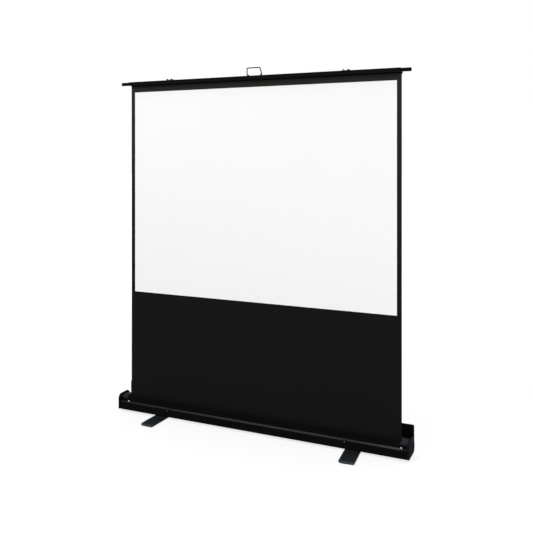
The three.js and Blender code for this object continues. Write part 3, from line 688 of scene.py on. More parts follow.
# %% Turned shapes
def turned(profile, axis, centre, sides=40):
    """Profile points are (radius, distance along). A closed ring starts and ends on one point."""
    place = ALONG[axis]
    ring = profile[0] == profile[-1]
    rows = profile[:-1] if ring else profile
    points, starts = [], []
    for radius, along in rows:
        starts.append(len(points))
        if radius:
            for side in range(sides):
                turn = 2 * math.pi * side / sides
                spot = place(radius * math.cos(turn), radius * math.sin(turn), along)
                points.append(Vector(spot) + Vector(centre))
        else:
            points.append(Vector(place(0, 0, along)) + Vector(centre))
    faces = []
    for index in range(len(rows) if ring else len(rows) - 1):
        here, there = index, (index + 1) % len(rows)
        for side in range(sides):
            after = (side + 1) % sides
            corners = [starts[here] + side, starts[here] + after,
                       starts[there] + after, starts[there] + side]
            if not rows[here][0]:
                corners = [starts[here], starts[there] + after, starts[there] + side]
            elif not rows[there][0]:
                corners = [starts[here] + side, starts[here] + after, starts[there]]
            faces.append(corners)
    return points, faces


def domed(radius, base, height, steps=4):
    """Profile of a rivet's head, from its rim to its crown."""
    return [(radius * math.cos(math.pi / 2 * step / steps) if step < steps else 0,
             base + height * math.sin(math.pi / 2 * step / steps)) for step in range(steps + 1)]


washer_profile = [(2, 0), (3, 0), (3, 1), (2, 1), (2, 0)]
print("a turned ring of 40 sides:", len(turned(washer_profile, "x", (0, 0, 0))[0]), "points")


# %% Bent wires
def bent_path(corners, bend, steps=7):
    """The middle line of a wire through its corners, each rounded with the same bend."""
    path = [Vector(corners[0])]
    for last, corner, following in zip(corners, corners[1:], corners[2:]):
        last, corner, following = Vector(last), Vector(corner), Vector(following)
        to_last, to_next = (last - corner).normalized(), (following - corner).normalized()
        half = to_last.angle(to_next) / 2
        centre = corner + (to_last + to_next).normalized() * bend / math.sin(half)
        first = corner + to_last * bend / math.tan(half) - centre
        final = corner + to_next * bend / math.tan(half) - centre
        turn = first.angle(final)
        for step in range(steps + 1):
            share = step / steps
            spoke = first * math.sin((1 - share) * turn) + final * math.sin(share * turn)
            path.append(centre + spoke / math.sin(turn))
    return path + [Vector(corners[-1])]


def wire(path, radius, sides=14):
    """A round section carried along a path without twisting, and closed at both ends."""
    points, faces = [], []
    side_way = Vector((0, 0, 0))
    for index, spot in enumerate(path):
        way = (path[min(index + 1, len(path) - 1)] - path[max(index - 1, 0)]).normalized()
        if index == 0:
            side_way = way.orthogonal().normalized()
        side_way = (side_way - way * side_way.dot(way)).normalized()
        other_way = way.cross(side_way)
        for side in range(sides):
            turn = 2 * math.pi * side / sides
            points.append(spot + (side_way * math.cos(turn) + other_way * math.sin(turn)) * radius)
    for ring in range(len(path) - 1):
        for side in range(sides):
            after = (side + 1) % sides
            here, there = ring * sides, (ring + 1) * sides
            faces.append([here + side, here + after, there + after, there + side])
    faces += [list(range(sides)), [len(points) - sides + side for side in range(sides)]]
    return points, faces


print("a square bend has", len(bent_path([(0, 0, 0), (9, 0, 0), (9, 9, 0)], 2)), "points")


# %% Joining, moving and placing shapes
def together(*shapes):
    """Several shapes as one."""
    points, faces = [], []
    for more_points, more_faces in shapes:
        faces += [[len(points) + index for index in face] for face in more_faces]
        points += more_points
    return points, faces


def moved(shape, matrix):
    return [matrix @ point for point in shape[0]], shape[1]


def mirrored(shape):
    return [Vector((-point.x, point.y, point.z)) for point in shape[0]], shape[1]


def made(name, shape, coats, body, slot, nodes=(), edge=0.4, rounds=3):
    """One piece from a shape in millimetres, riding on its body in place of its solids."""
    points = [point * MM for point in shape[0]]
    new = piece(name, points, shape[1], coats, edge * MM, rounds)
    if nodes:
        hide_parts(*nodes)
    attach(new, body)
    return new


def made_pair(name, shape, coats, body, slot, solid=None, **rounding):
    """The piece at the right end of the object, and its mirror image at the left end."""
    return [made(f"{name}_{side}", one, coats, body, slot, [f"{solid}_{side}"] if solid else (), **rounding)
            for side, one in (("right", shape), ("left", mirrored(shape)))]


def span(node):
    """A solid's lowest and highest corner, in millimetres."""
    return low(node) / MM, high(node) / MM


def middle_of(node):
    node_low, node_high = span(node)
    return (node_low + node_high) / 2


print("shapes can be joined, moved and mirrored")

# %% [markdown]
# ## The case
# The case is one long extrusion, open at the top. Its front leans back, turns over a round rim
# and ends in a low hood in front of the roller. The rim is what catches the light in the photo,
# as one thin line from end to end, so it gets a true round and a coat of its own. The hood
# stops short of the bearing blocks, so it is drawn as a second extrusion.

# %% Case extrusion
FRONT, WALL = -68, 2.5
RIM_BACK, LEDGE_DEPTH, HOOD_BACK = 13, 7, 28
RIM_HEIGHT, BACK_HEIGHT, HOOD_HEIGHT = 51, 72, 85
HOOD_GAP = 4
case_low, case_high = span("base_channel")
bottom, back = case_low.z, case_high.y
rim_y, rim_z = FRONT + RIM_BACK, bottom + RIM_HEIGHT
ledge_y = rim_y + LEDGE_DEPTH
hood_y, hood_z = FRONT + HOOD_BACK, bottom + HOOD_HEIGHT
back_z = bottom + BACK_HEIGHT
case_coats = [case_black, case_edge]

shell = extruded(rounded([
    (FRONT, bottom, 3),
    (back, bottom, 1.5),
    (back, back_z, 0),
    (back - WALL, back_z, 0),
    (back - WALL, bottom + WALL, 1),
    (FRONT + WALL, bottom + WALL, 1),
    (rim_y + WALL, rim_z - WALL, 2.5),
    (ledge_y, rim_z - WALL, 0),
    (ledge_y, rim_z, 0),
    (rim_y, rim_z, 5),
    (rim_y - 2.2, rim_z - 8.5, 0),
], steps=10), case_low.x, case_high.x, "x")
case_shell = made("case_shell", shell, case_coats + [rim_painted_highlight], "case", "black_case", ["base_channel"],
                  edge=0.35)


def on_rim(face):
    """The round and the ledge behind it face upwards, near the rim's height."""
    upwards = face.normal.z > 0 and abs(face.normal.x) < 0.5
    return upwards and face.center.z > (rim_z - 8) * MM and face.center.y < ledge_y * MM


# Painted highlight: the upward faces of the round and the ledge take the rim's lighter coat.
recoat(case_shell, 2, on_rim)

hood_end = low("bearing_block_right").x / MM - HOOD_GAP
hood = extruded(rounded([
    (ledge_y - 0.2, rim_z, 1.2),
    (ledge_y + WALL, rim_z - WALL, 0),
    (hood_y + WALL, hood_z, 1.2),
    (hood_y, hood_z, 1.2),
]), -hood_end, hood_end, "x")
made("case_hood", hood, case_coats, "case", "black_case", ["base_channel"], edge=0.3)
print("case extrusion:", round(case_high.x - case_low.x, 1), "mm long")

# %% [markdown]
# ## The rear panel
# A taller strip is fixed to the back of the case, so that the closed bar and the folded lift
# can't be seen or knocked from behind. Its top is folded over into a hem, and a row of blind
# rivets holds it. The rivets are too small for the solids, but in a view from behind they say
# how the case is put together.

# %% Rear panel
HEEL = 22
HEM_DEPTH, HEM_THICKNESS = 7, 1.2
RIVET_ROWS = (30, 74)
RIVET_COLUMNS, RIVET_REACH = 9, 880
panel_low, panel_high = span("rear_panel")
panel = extruded(rounded([
    (panel_low.x, panel_low.z, HEEL),
    (panel_high.x, panel_low.z, HEEL),
    (panel_high.x, panel_high.z, 8),
    (panel_low.x, panel_high.z, 8),
], steps=8), panel_low.y, panel_high.y, "y")
hem = extruded(rounded([
    (panel_low.y - HEM_THICKNESS, panel_high.z - HEM_DEPTH, 0.5),
    (panel_low.y, panel_high.z - HEM_DEPTH, 0),
    (panel_low.y, panel_high.z - 0.3, 0),
    (panel_low.y - HEM_THICKNESS, panel_high.z - 0.3, 1.1),
]), panel_low.x + 8, panel_high.x - 8, "x")
made("rear_panel_sheet", panel, case_coats, "case", "black_case", ["rear_panel"], edge=0.3)
made("rear_panel_hem", hem, case_coats, "case", "black_case", edge=0.2)

panel_rivets = []
for height in RIVET_ROWS:
    for column in range(RIVET_COLUMNS):
        x = (column / (RIVET_COLUMNS - 1) - 0.5) * 2 * RIVET_REACH
        panel_rivets.append(turned(domed(3.2, 0, 1.1), "y", (x, panel_high.y, height), sides=20))
made("rear_panel_rivets", together(*panel_rivets), zinc_steel, "case", "steel", edge=0)
print("rear panel rivets:", len(panel_rivets))

# %% [markdown]
# ## End caps and bearing blocks
# Both ends are closed by moulded parts: a flange whose outer face is sunk inside a raised rim,
# and behind it a block with rounded shoulders that carries the roller. The sunk face comes from
# a second, smaller outline inside the first, with as many points. The block is painted grey above
# and inside, where it shows beside the cloth, as painted light from above, and black in front,
# where a cover in the same painted lit grey closes the upper part of it.


# %% End caps
CAP_SLOPE, CAP_SHOULDER, CAP_RIM, CAP_SINK = 40, 28, 5, 1.6
COLLAR_RISE = 19
cap_low, cap_high = span("end_flange_right")


def cap_outline(inset):
    """The flange seen from its side, or the same outline a little further in."""
    low_z, high_z = cap_low.z + inset, cap_high.z - inset
    slope = CAP_SLOPE - 0.6 * inset
    return rounded([
        (cap_low.y + inset, low_z, 3),
        (cap_high.y - inset, low_z, HEEL - inset),
        (cap_high.y - inset, high_z - slope, 6),
        (cap_high.y - inset - slope, high_z, 6),
        (cap_low.y + inset, high_z, CAP_SHOULDER - inset),
    ], steps=12)


cap = dished(cap_outline(0), cap_outline(CAP_RIM), cap_low.x, cap_high.x, "x", CAP_SINK)
made_pair("end_cap", cap, [cap_plastic, cap_edge], "case", "black_plastic", "end_flange", edge=0.6)

block_low, block_high = span("bearing_block_right")
bearing = extruded(rounded([
    (block_low.y, block_low.z, 0),
    (block_high.y, block_low.z, 0),
    (block_high.y, block_high.z, 10),
    (block_low.y, block_high.z, 24),
], steps=12), block_low.x, block_high.x, "x")
# Painted light: the block is the lit grey on every face but its front, which stays black.
for bearing_block in made_pair("bearing", bearing, [block_painted_light, cap_plastic, cap_edge], "case",
                               "black_plastic", "bearing_block", edge=1.2):
    recoat(bearing_block, 1, lambda face: face.normal.y < -0.98)

# The cover over the block's front takes the same painted lit grey.
collar = extruded(rounded([
    (block_low.y - 5, rim_z + COLLAR_RISE, 2),
    (block_low.y + 4, rim_z + COLLAR_RISE, 0),
    (block_low.y + 4, block_high.z - 5, 0),
    (block_low.y - 0.5, block_high.z - 2, 4),
], steps=6), block_low.x - 3.5, block_high.x, "x")
made_pair("collar", collar, [block_painted_light, cap_edge], "case", "black_plastic", edge=0.8)
print("end caps", round(cap_high.z - cap_low.z, 1), "mm tall")


# %% Screws
def pan_head(radius, height, axis, centre, outward=1):
    """A pan-head screw with a cross cut into it: a turned head under four raised quarters."""
    head = turned([(radius, 0), (radius, 0.45 * height * outward), (0.8 * radius, 0.7 * height * outward),
                   (0, 0.7 * height * outward)], axis, centre, sides=24)
    quarters = []
    place = ALONG[axis]
    slot_half = 0.13 * radius
    for across in (-1, 1):
        for up in (-1, 1):
            outline = [(across * slot_half, up * slot_half), (across * 0.7 * radius, up * slot_half),
                       (across * 0.5 * radius, up * 0.5 * radius), (across * slot_half, up * 0.7 * radius)]
            points, faces = extruded([Vector(spot) for spot in outline], 0.6 * height * outward,
                                     height * outward, axis)
            quarters.append(([point + Vector(centre) for point in points], faces))
    return together(head, *quarters)


SCREW_RADIUS, SCREW_HEAD = 5, 2.2
for level in ("front", "back"):
    middle = middle_of(f"cap_screw_{level}_right")
    outer_x = span(f"cap_screw_{level}_right")[1].x
    screw = pan_head(SCREW_RADIUS, SCREW_HEAD, "x", (outer_x - SCREW_HEAD, middle.y, middle.z))
    for side, one in (("right", screw), ("left", mirrored(screw))):
        made(f"cap_screw_{level}_head_{side}", one, [wire_black, case_edge], "case", "black_wire",
             [f"cap_screw_{level}_{side}"], edge=0.15)

STUD = [(5, 0), (5, 2.6), (4.7, 4.1), (3.9, 5.6), (2.3, 6.8), (0, 7.3)]
STUD_BACK = 3.3
for side, x in (("right", 890), ("left", -866)):
    dome = turned(STUD, "z", (x, rim_y + STUD_BACK, rim_z), sides=32)
    made(f"end_stud_{side}", dome, zinc_edge, "case", "steel", edge=0)
print("screws and studs at the case's ends: 6")

# %% [markdown]
# ## The top bar
# The bar is another black extrusion: a flat top, a skirt in front, and a web that the cloth is
# clamped to. A round tube runs through it from end to end, and its ends stick out as stubs
# with plastic knobs, which rest on the end caps when the screen is closed. A thin sleeve,
# moulded in one with each knob, covers the tube's bare end.

# %% Bar extrusion
SKIRT_DROP, WEB_DROP, WEB_FRONT = 24, 28, -1.4
GROOVE_FRONT, GROOVE_WIDTH, GROOVE_DEPTH = 27, 3, 0.6
bar_low, bar_high = span("top_bar_profile")
top = bar_high.z
web_back = WEB_FRONT + WALL
groove_front, groove_back = bar_low.y + GROOVE_FRONT, bar_low.y + GROOVE_FRONT + GROOVE_WIDTH
bar = extruded(rounded([
    (bar_low.y, top - SKIRT_DROP, 0.9),
    (bar_low.y + WALL, top - SKIRT_DROP, 0.9),
    (bar_low.y + WALL, top - WALL, 1),
    (WEB_FRONT, top - WALL, 0.6),
    (WEB_FRONT, top - WEB_DROP, 0.5),
    (web_back, top - WEB_DROP, 0.5),
    (web_back, top - WALL, 0.6),
    (bar_high.y, top - WALL, 0),
    (bar_high.y, top, 1),
    (groove_back, top, 0),
    (groove_back - GROOVE_DEPTH, top - GROOVE_DEPTH, 0),
    (groove_front + GROOVE_DEPTH, top - GROOVE_DEPTH, 0),
    (groove_front, top, 0),
    (bar_low.y, top, 2.5),
], steps=6), bar_low.x, bar_high.x, "x")
bar_coats = [bar_black, bar_edge]
made("bar_extrusion", bar, bar_coats, "top_bar", "black_bar", ["top_bar_profile"], edge=0.25)

strip_low, strip_high = span("fabric_clamp_strip")
strip = block((strip_low.x, strip_high.x), (strip_low.y, strip_high.y), (strip_low.z, strip_high.z))
made("clamp_strip", strip, bar_coats, "top_bar", "black_bar", ["fabric_clamp_strip"], edge=0.8)
CLAMP_SCREWS = 12
CLAMP_SCREW = [(2.4, 0), (2.1, -0.8), (0, -0.8)]
screw_z = (strip_low.z + strip_high.z) / 2 - 1
clamp_screws = []
for index in range(CLAMP_SCREWS):
    x = ((index + 0.5) / CLAMP_SCREWS - 0.5) * (strip_high.x - strip_low.x)
    clamp_screws.append(turned(CLAMP_SCREW, "y", (x, strip_low.y, screw_z), sides=16))
made("clamp_screws", together(*clamp_screws), wire_black, "top_bar", "black_wire", edge=0)
print("top bar:", round(bar_high.x - bar_low.x, 1), "mm long")

# %% Stub tube and knobs
TUBE_BORE, TUBE_RADIUS, SLEEVE_RADIUS, KNOB_RADIUS = 7.5, 9, 10.3, 10.5
PLUG_LENGTH, RIBS, RIB_DEPTH = 20, 20, 0.06
stub_low, stub_high = span("top_bar_tube")
stub_y, stub_z = (stub_low.y + stub_high.y) / 2, (stub_low.z + stub_high.z) / 2
stub = turned([
    (TUBE_BORE, stub_low.x), (TUBE_RADIUS, stub_low.x), (TUBE_RADIUS, stub_high.x),
    (TUBE_BORE, stub_high.x), (TUBE_BORE, stub_low.x),
], "x", (0, stub_y, stub_z), sides=48)
made("stub_tube", stub, bar_coats, "top_bar", "black_bar", ["top_bar_tube"], edge=0.3)

knob_start = stub_high.x + 0.3
knob_end = span("bar_knob_right")[1].x
sleeve_start = high("top_bar_profile").x / MM + 1.2


def ribbed_knob():
    """A plug in the tube, a sleeve over the tube's bare end, and a rim pulled in between ribs."""
    rows = [
        (7.0, knob_start - PLUG_LENGTH), (7.0, knob_start), (9.2, knob_start), (9.2, sleeve_start),
        (SLEEVE_RADIUS - 0.4, sleeve_start), (SLEEVE_RADIUS, sleeve_start + 0.5),
        (SLEEVE_RADIUS, knob_start + 0.6), (KNOB_RADIUS, knob_start + 1.6),
        (KNOB_RADIUS, knob_end - 2.5), (9.3, knob_end - 0.6), (8.0, knob_end), (0, knob_end),
    ]
    points, faces = turned(rows, "x", (0, stub_y, stub_z), sides=4 * RIBS)
    for index, point in enumerate(points):
        reach = math.hypot(point.y - stub_y, point.z - stub_z)
        if reach > (SLEEVE_RADIUS + KNOB_RADIUS) / 2 and index % 4 in (2, 3):
            point.y = stub_y + (point.y - stub_y) * (1 - RIB_DEPTH)
            point.z = stub_z + (point.z - stub_z) * (1 - RIB_DEPTH)
    return points, faces + [list(range(4 * RIBS))]


made_pair("knob", ribbed_knob(), cap_plastic, "top_bar", "black_plastic", "bar_knob", edge=0)
print("knobs with", RIBS, "ribs")

# %% [markdown]
# ## The feet
# Each foot is a long pressed plate that swivels on one bolt under the case. Its two ends slope
# down to a thin lip, its sides are bevelled, and a low round boss lifts it to the case. Two of
# its corners are well rounded and two are tight. Rings of equally many points, laid one inside
# the other from the underside to the boss, give the plate, the boss and the bolt's hole as one
# closed skin.


# %% Rings into a closed skin
def skinned(rings):
    """Joins each ring to the next, and the last to the first, as a closed tube of faces."""
    count = len(rings[0])
    points = [point for ring in rings for point in ring]
    faces = []
    for index in range(len(rings)):
        here, there = index * count, (index + 1) % len(rings) * count
        for side in range(count):
            after = (side + 1) % count
            faces.append([here + side, here + after, there + after, there + side])
    return points, faces


def spaced(outline, longest):
    """The same outline with extra points, so that no step along it is too long."""
    fine = []
    for start, end in zip(outline, outline[1:] + outline[:1]):
        parts = max(1, math.ceil((end - start).length / longest))
        fine += [start.lerp(end, part / parts) for part in range(parts)]
    return fine


HALF_WIDTH, HALF_LENGTH, PLATE_THICKNESS = 45, 225, 8
ROUND_CORNER, TIGHT_CORNER = 25, 9
BOSS_RADIUS, BOLT_HOLE, HEAD_ROOM = 30, 6.3, 11.4
LONGEST_STEP = 12
foot_low, foot_high = span("foot_right")
plate_bottom, boss_top = foot_low.z, foot_high.z
plate_top = plate_bottom + PLATE_THICKNESS

foot_outline = spaced(rounded([
    (-HALF_WIDTH, -HALF_LENGTH, ROUND_CORNER),
    (HALF_WIDTH, -HALF_LENGTH, TIGHT_CORNER),
    (HALF_WIDTH, HALF_LENGTH, ROUND_CORNER),
    (-HALF_WIDTH, HALF_LENGTH, TIGHT_CORNER),
], steps=10), LONGEST_STEP)


def foot_ring(side_inset, end_inset, z):
    """The foot's outline at a height, drawn in by so much at its sides and at its ends."""
    across, along = 1 - side_inset / HALF_WIDTH, 1 - end_inset / HALF_LENGTH
    return [Vector((spot.x * across, spot.y * along, z)) for spot in foot_outline]


def round_ring(radius, z):
    """A circle with one point towards each point of the foot's outline."""
    return [Vector((*(spot.normalized() * radius), z)) for spot in foot_outline]


print("foot outline of", len(foot_outline), "points")

# %% Feet
foot_shape = skinned([
    foot_ring(1, 1, plate_bottom),
    foot_ring(0, 0, plate_bottom + 1),
    foot_ring(0, 0, plate_bottom + 4.5),
    foot_ring(0.6, 0.8, plate_bottom + 5.2),
    foot_ring(2.2, 13, plate_top - 0.15),
    foot_ring(3, 15, plate_top),
    round_ring(BOSS_RADIUS + 1.5, plate_top),
    round_ring(BOSS_RADIUS + 0.4, plate_top + 0.4),
    round_ring(BOSS_RADIUS, boss_top - 0.5),
    round_ring(BOSS_RADIUS - 0.6, boss_top),
    round_ring(BOLT_HOLE, boss_top),
    round_ring(BOLT_HOLE, plate_bottom + 4.6),
    round_ring(HEAD_ROOM, plate_bottom + 4.6),
    round_ring(HEAD_ROOM, plate_bottom),
])
TIP_LENGTH = 14
for side in ("left", "right"):
    middle = middle_of(f"foot_bolt_{side}")
    front_low, front_high = span(f"foot_pad_{side}_front")
    back_low, back_high = span(f"foot_pad_{side}_back")
    lengthwise = (back_low + back_high - front_low - front_high) / 2
    turn = math.atan2(-lengthwise.x, lengthwise.y)
    place = Matrix.Translation((middle.x, 0, 0)) @ Matrix.Rotation(turn, 4, "Z")
    foot = made(f"foot_plate_{side}", moved(foot_shape, place), [foot_black, foot_tip_painted_highlight, foot_edge],
                f"{side}_foot", "black_feet", [f"foot_{side}"], edge=0.35, rounds=2)

    def on_sloping_tip(face):
        along = (place.inverted() @ (face.center / MM)).y
        return abs(along) > HALF_LENGTH - TIP_LENGTH and 0.9 < face.normal.z < 0.995

    # Painted highlight: the sloping tips take the feet's lighter tip coat.
    recoat(foot, 1, on_sloping_tip)
    print(side, "foot turned by", round(math.degrees(turn), 1), "degrees")

# %% [markdown]
# ## Pads and bolts under the feet
# Two round rubber pads under each foot grip the floor, with rings moulded into their soles. The
# bolt has a hexagon head let into the foot from below and a nut inside the case. A hexagon is a
# rounded outline of six corners, so it is an extrusion like the rest.

# %% Pads and bolts
SOLE = [(0, 0.5), (4.5, 0.5), (5, 0), (7, 0), (7.5, 0.5), (9.5, 0.5), (10, 0), (12.4, 0), (13.6, 0.9),
        (14, 1.6), (14, 2.3), (13.6, 2.7), (0, 2.7)]
for side in ("left", "right"):
    for end in ("front", "back"):
        pad_low, pad_high = span(f"foot_pad_{side}_{end}")
        middle = (pad_low + pad_high) / 2
        thickness = pad_high.z - pad_low.z
        profile = [(radius, pad_low.z + up * thickness / SOLE[-1][1]) for radius, up in SOLE]
        sole = turned(profile, "z", (middle.x, middle.y, 0), sides=36)
        made(f"rubber_pad_{side}_{end}", sole, pad_rubber, f"{side}_foot", "rubber",
             [f"foot_pad_{side}_{end}"], edge=0)


HEAD_RADIUS, NUT_RADIUS, WASHER_RADIUS, SHANK_RADIUS = 10.6, 9.4, 10, 5.9
HEAD_THICKNESS, WASHER_BELOW, NUT_BELOW = 3.6, 6, 5
steel_coats = [zinc_steel, zinc_edge]


def hexagon(radius):
    turns = [math.radians(60 * corner) for corner in range(6)]
    return rounded([(radius * math.cos(turn), radius * math.sin(turn), 0.8) for turn in turns], steps=3)


for side in ("left", "right"):
    bolt_low, bolt_high = span(f"foot_bolt_{side}")
    middle = (bolt_low + bolt_high) / 2
    foot_z, tip_z = bolt_low.z, bolt_high.z
    head = extruded(hexagon(HEAD_RADIUS), foot_z, foot_z + HEAD_THICKNESS, "z")
    shank = turned([(0, foot_z + 3), (SHANK_RADIUS, foot_z + 3), (SHANK_RADIUS, tip_z - 0.8),
                    (5.2, tip_z), (0, tip_z)], "z", (0, 0, 0), sides=28)
    washer = turned([(SHANK_RADIUS, tip_z - WASHER_BELOW), (WASHER_RADIUS, tip_z - WASHER_BELOW),
                     (WASHER_RADIUS, tip_z - NUT_BELOW), (SHANK_RADIUS, tip_z - NUT_BELOW),
                     (SHANK_RADIUS, tip_z - WASHER_BELOW)], "z", (0, 0, 0), sides=36)
    nut = extruded(hexagon(NUT_RADIUS), tip_z - NUT_BELOW, tip_z - 1.2, "z")
    bolt = moved(together(head, shank, washer, nut), Matrix.Translation((middle.x, middle.y, 0)))
    made(f"swivel_bolt_{side}", bolt, steel_coats, "case", "steel", [f"foot_bolt_{side}"], edge=0.3)
print("four pads and two swivel bolts")

# %% [markdown]
# ## The carry handle
# The handle is one thick wire bent to a flat trapezium. Its ends turn inwards through two ears
# of a small base on the bar, so it can lie down. It leans towards the viewer, as someone left
# it. A wire is a path through the bends with a round section carried along it.

# %% Carry handle
HANDLE_Y, HANDLE_RISE, HANDLE_LENGTH = -6, 5.2, 44.5
HANDLE_LEAN = math.radians(20)
BAIL_FOOT, BAIL_TOP, BAIL_BEND, BAIL_WIRE = 49, 41.5, 6, 3.2
EAR_THICKNESS, EAR_HALF, PLATE_HALF, PLATE_METAL = 2.5, 5.2, 9, 1.5
PIN_INSIDE = 3
base_low, base_high = span("handle_base")
bar_top = bar_high.z
ear_out = base_high.x
ear_in = ear_out - EAR_THICKNESS


def bail_point(x, along):
    """A point of the handle's wire, so far out along its lean from the two ears."""
    y = HANDLE_Y - along * math.sin(HANDLE_LEAN)
    return (x, y, bar_top + HANDLE_RISE + along * math.cos(HANDLE_LEAN))


bail_wire = wire(bent_path([
    bail_point(PIN_INSIDE - ear_in, 0),
    bail_point(-BAIL_FOOT, 0),
    bail_point(-BAIL_TOP, HANDLE_LENGTH),
    bail_point(BAIL_TOP, HANDLE_LENGTH),
    bail_point(BAIL_FOOT, 0),
    bail_point(ear_in - PIN_INSIDE, 0),
], BAIL_BEND), BAIL_WIRE, sides=20)
made("carry_bail", bail_wire, wire_black, "handle", "black_wire", ["handle_bail"], edge=0.3)

ear_top = bar_top + HANDLE_RISE + EAR_HALF
plate_top_z = base_low.z + PLATE_METAL
ear = rounded([
    (HANDLE_Y - PLATE_HALF, base_low.z, 0),
    (HANDLE_Y + PLATE_HALF, base_low.z, 0),
    (HANDLE_Y + PLATE_HALF, plate_top_z, 0.5),
    (HANDLE_Y + EAR_HALF, ear_top, 4.6),
    (HANDLE_Y - EAR_HALF, ear_top, 4.6),
    (HANDLE_Y - PLATE_HALF, plate_top_z, 0.5),
], steps=8)
plate = extruded(rounded([
    (-ear_in, HANDLE_Y - PLATE_HALF, 0),
    (ear_in, HANDLE_Y - PLATE_HALF, 0),
    (ear_in, HANDLE_Y + PLATE_HALF, 0),
    (-ear_in, HANDLE_Y + PLATE_HALF, 0),
]), base_low.z, plate_top_z, "z")
base = together(plate, extruded(ear, ear_in, ear_out, "x"), extruded(ear, -ear_out, -ear_in, "x"))
made("handle_plate", base, wire_black, "top_bar", "black_wire", ["handle_base"], edge=0.3)
plate_rivets = [turned(domed(3, plate_top_z, 1.4), "z", (x, HANDLE_Y, 0), sides=24) for x in (-24, 24)]
made("handle_rivets", together(*plate_rivets), wire_black, "top_bar", "black_wire", edge=0)
print("handle of", 2 * BAIL_WIRE, "mm wire,", HANDLE_LENGTH, "mm long")

# %% [markdown]
# ## The two latches
# Each latch is a thin wire loop in a small bracket at the front of the bar. When the screen is
# closed the loop swings down over the front and snaps behind the nose of a catch, which is
# riveted to the case's leaning front.

# %% Latches on the bar
LOOP_HALF, LOOP_WIRE, LOOP_BEND = 19, 1.5, 3
FORK_HALF, FORK_METAL, FORK_PLATE = 4, 1.2, 15
for side in ("left", "right"):
    loop_low, loop_high = span(f"latch_loop_{side}")
    fork_end = span(f"latch_bracket_{side}")[1]
    x = (loop_low.x + loop_high.x) / 2
    pin_y, pin_z = loop_low.y + LOOP_WIRE, (loop_low.z + loop_high.z) / 2
    reach = loop_high.y - LOOP_WIRE
    ear_out = fork_end.x - x
    ear_in = ear_out - EAR_THICKNESS
    corners = [(PIN_INSIDE - ear_in, pin_y), (-LOOP_HALF, pin_y), (-LOOP_HALF, reach),
               (LOOP_HALF, reach), (LOOP_HALF, pin_y), (ear_in - PIN_INSIDE, pin_y)]
    loop = wire(bent_path([(x + across, along, pin_z) for across, along in corners], LOOP_BEND), LOOP_WIRE)
    made(f"latch_wire_{side}", loop, wire_black, f"{side}_latch", "black_wire",
         [f"latch_loop_{side}"], edge=0.2)

    plate_y, plate_z = fork_end.y - FORK_PLATE, bar_top + 0.3
    ear = rounded([
        (pin_y - FORK_HALF, pin_z - FORK_HALF, 3.6),
        (pin_y + FORK_HALF, pin_z - FORK_HALF, 0.3),
        (pin_y + FORK_HALF, plate_z, 0.3),
        (fork_end.y, plate_z, 0),
        (fork_end.y, plate_z + FORK_METAL, 0),
        (pin_y + 2 * FORK_HALF, pin_z + FORK_HALF, 1.5),
        (pin_y - FORK_HALF, pin_z + FORK_HALF, 3.6),
    ], steps=6)
    plate = block((x - ear_in, x + ear_in), (plate_y, fork_end.y), (plate_z, plate_z + FORK_METAL))
    rivets = [turned(domed(2.4, plate_z + FORK_METAL, 1.0), "z", (x + across, plate_y + 8, 0), sides=20)
              for across in (-7, 7)]
    fork = together(plate, extruded(ear, x + ear_in, x + ear_out, "x"),
                    extruded(ear, x - ear_out, x - ear_in, "x"), *rivets)
    made(f"latch_fork_{side}", fork, wire_black, "top_bar", "black_wire",
         [f"latch_bracket_{side}"], edge=0.2)
print("latch loops reach", round(reach - pin_y, 1), "mm")

# %% Catches on the case
LEAN = math.atan2(rim_y - FRONT, rim_z - bottom)
CATCH_BACK, CATCH_FACE, NOSE_REACH = 0.3, 1.8, 7.8
CATCH_BOTTOM, RIVET_UP, NOSE_UP, CATCH_TOP = 31, 38, 46.8, 55
CATCH_HALF = 11


def on_front(out, up):
    """A point that far out from the leaning front, and that far up along it."""
    y = FRONT + up * math.sin(LEAN) - out * math.cos(LEAN)
    return y, bottom + up * math.cos(LEAN) + out * math.sin(LEAN)


rivet_y, rivet_z = on_front(CATCH_FACE, RIVET_UP)
nose_tip = on_front(0, NOSE_UP + 3)[1] * MM
facing_out = Matrix.Rotation(-LEAN, 4, "X") @ Matrix.Scale(-1, 4, (0, 1, 0))
for side in ("left", "right"):
    x = middle_of(f"latch_catch_{side}").x
    profile = rounded([
        (*on_front(CATCH_BACK, CATCH_BOTTOM), 0),
        (*on_front(CATCH_FACE, CATCH_BOTTOM), 0.7),
        (*on_front(CATCH_FACE, NOSE_UP), 0.5),
        (*on_front(NOSE_REACH, NOSE_UP), 0.4),
        (*on_front(CATCH_FACE, NOSE_UP + 4), 1),
        (*on_front(CATCH_FACE, CATCH_TOP), 0.7),
        (*on_front(CATCH_BACK, CATCH_TOP), 0),
    ], steps=4)
    catch = made(f"catch_plate_{side}", extruded(profile, x - CATCH_HALF, x + CATCH_HALF, "x"),
                 [case_black, rim_painted_highlight], "case", "black_case", [f"latch_catch_{side}"], edge=0.5)
    # Painted highlight: the catch's top takes the rim's lighter coat, so the rim's line of light runs on
    # over it.
    recoat(catch, 1, lambda face: face.center.z > nose_tip)
    head = turned(domed(4, 0, 1.8, steps=5), "y", (0, 0, 0), sides=28)
    place = Matrix.Translation((x, rivet_y, rivet_z)) @ facing_out
    made(f"catch_stud_{side}", moved(head, place), stud_black, "case", "black_wire",
         [f"catch_rivet_{side}"], edge=0)
print("front leans", round(math.degrees(LEAN), 1), "degrees")

# %% [markdown]
# ## The folding lift
# Behind the cloth two pairs of crossed flat bars carry the bar, like a lazy tongs. The bars are
# drawn aluminium with round ends and a thin washer at each of their three pins. A bar is drawn
# lying along X from its first pin, and then turned and moved to its place.

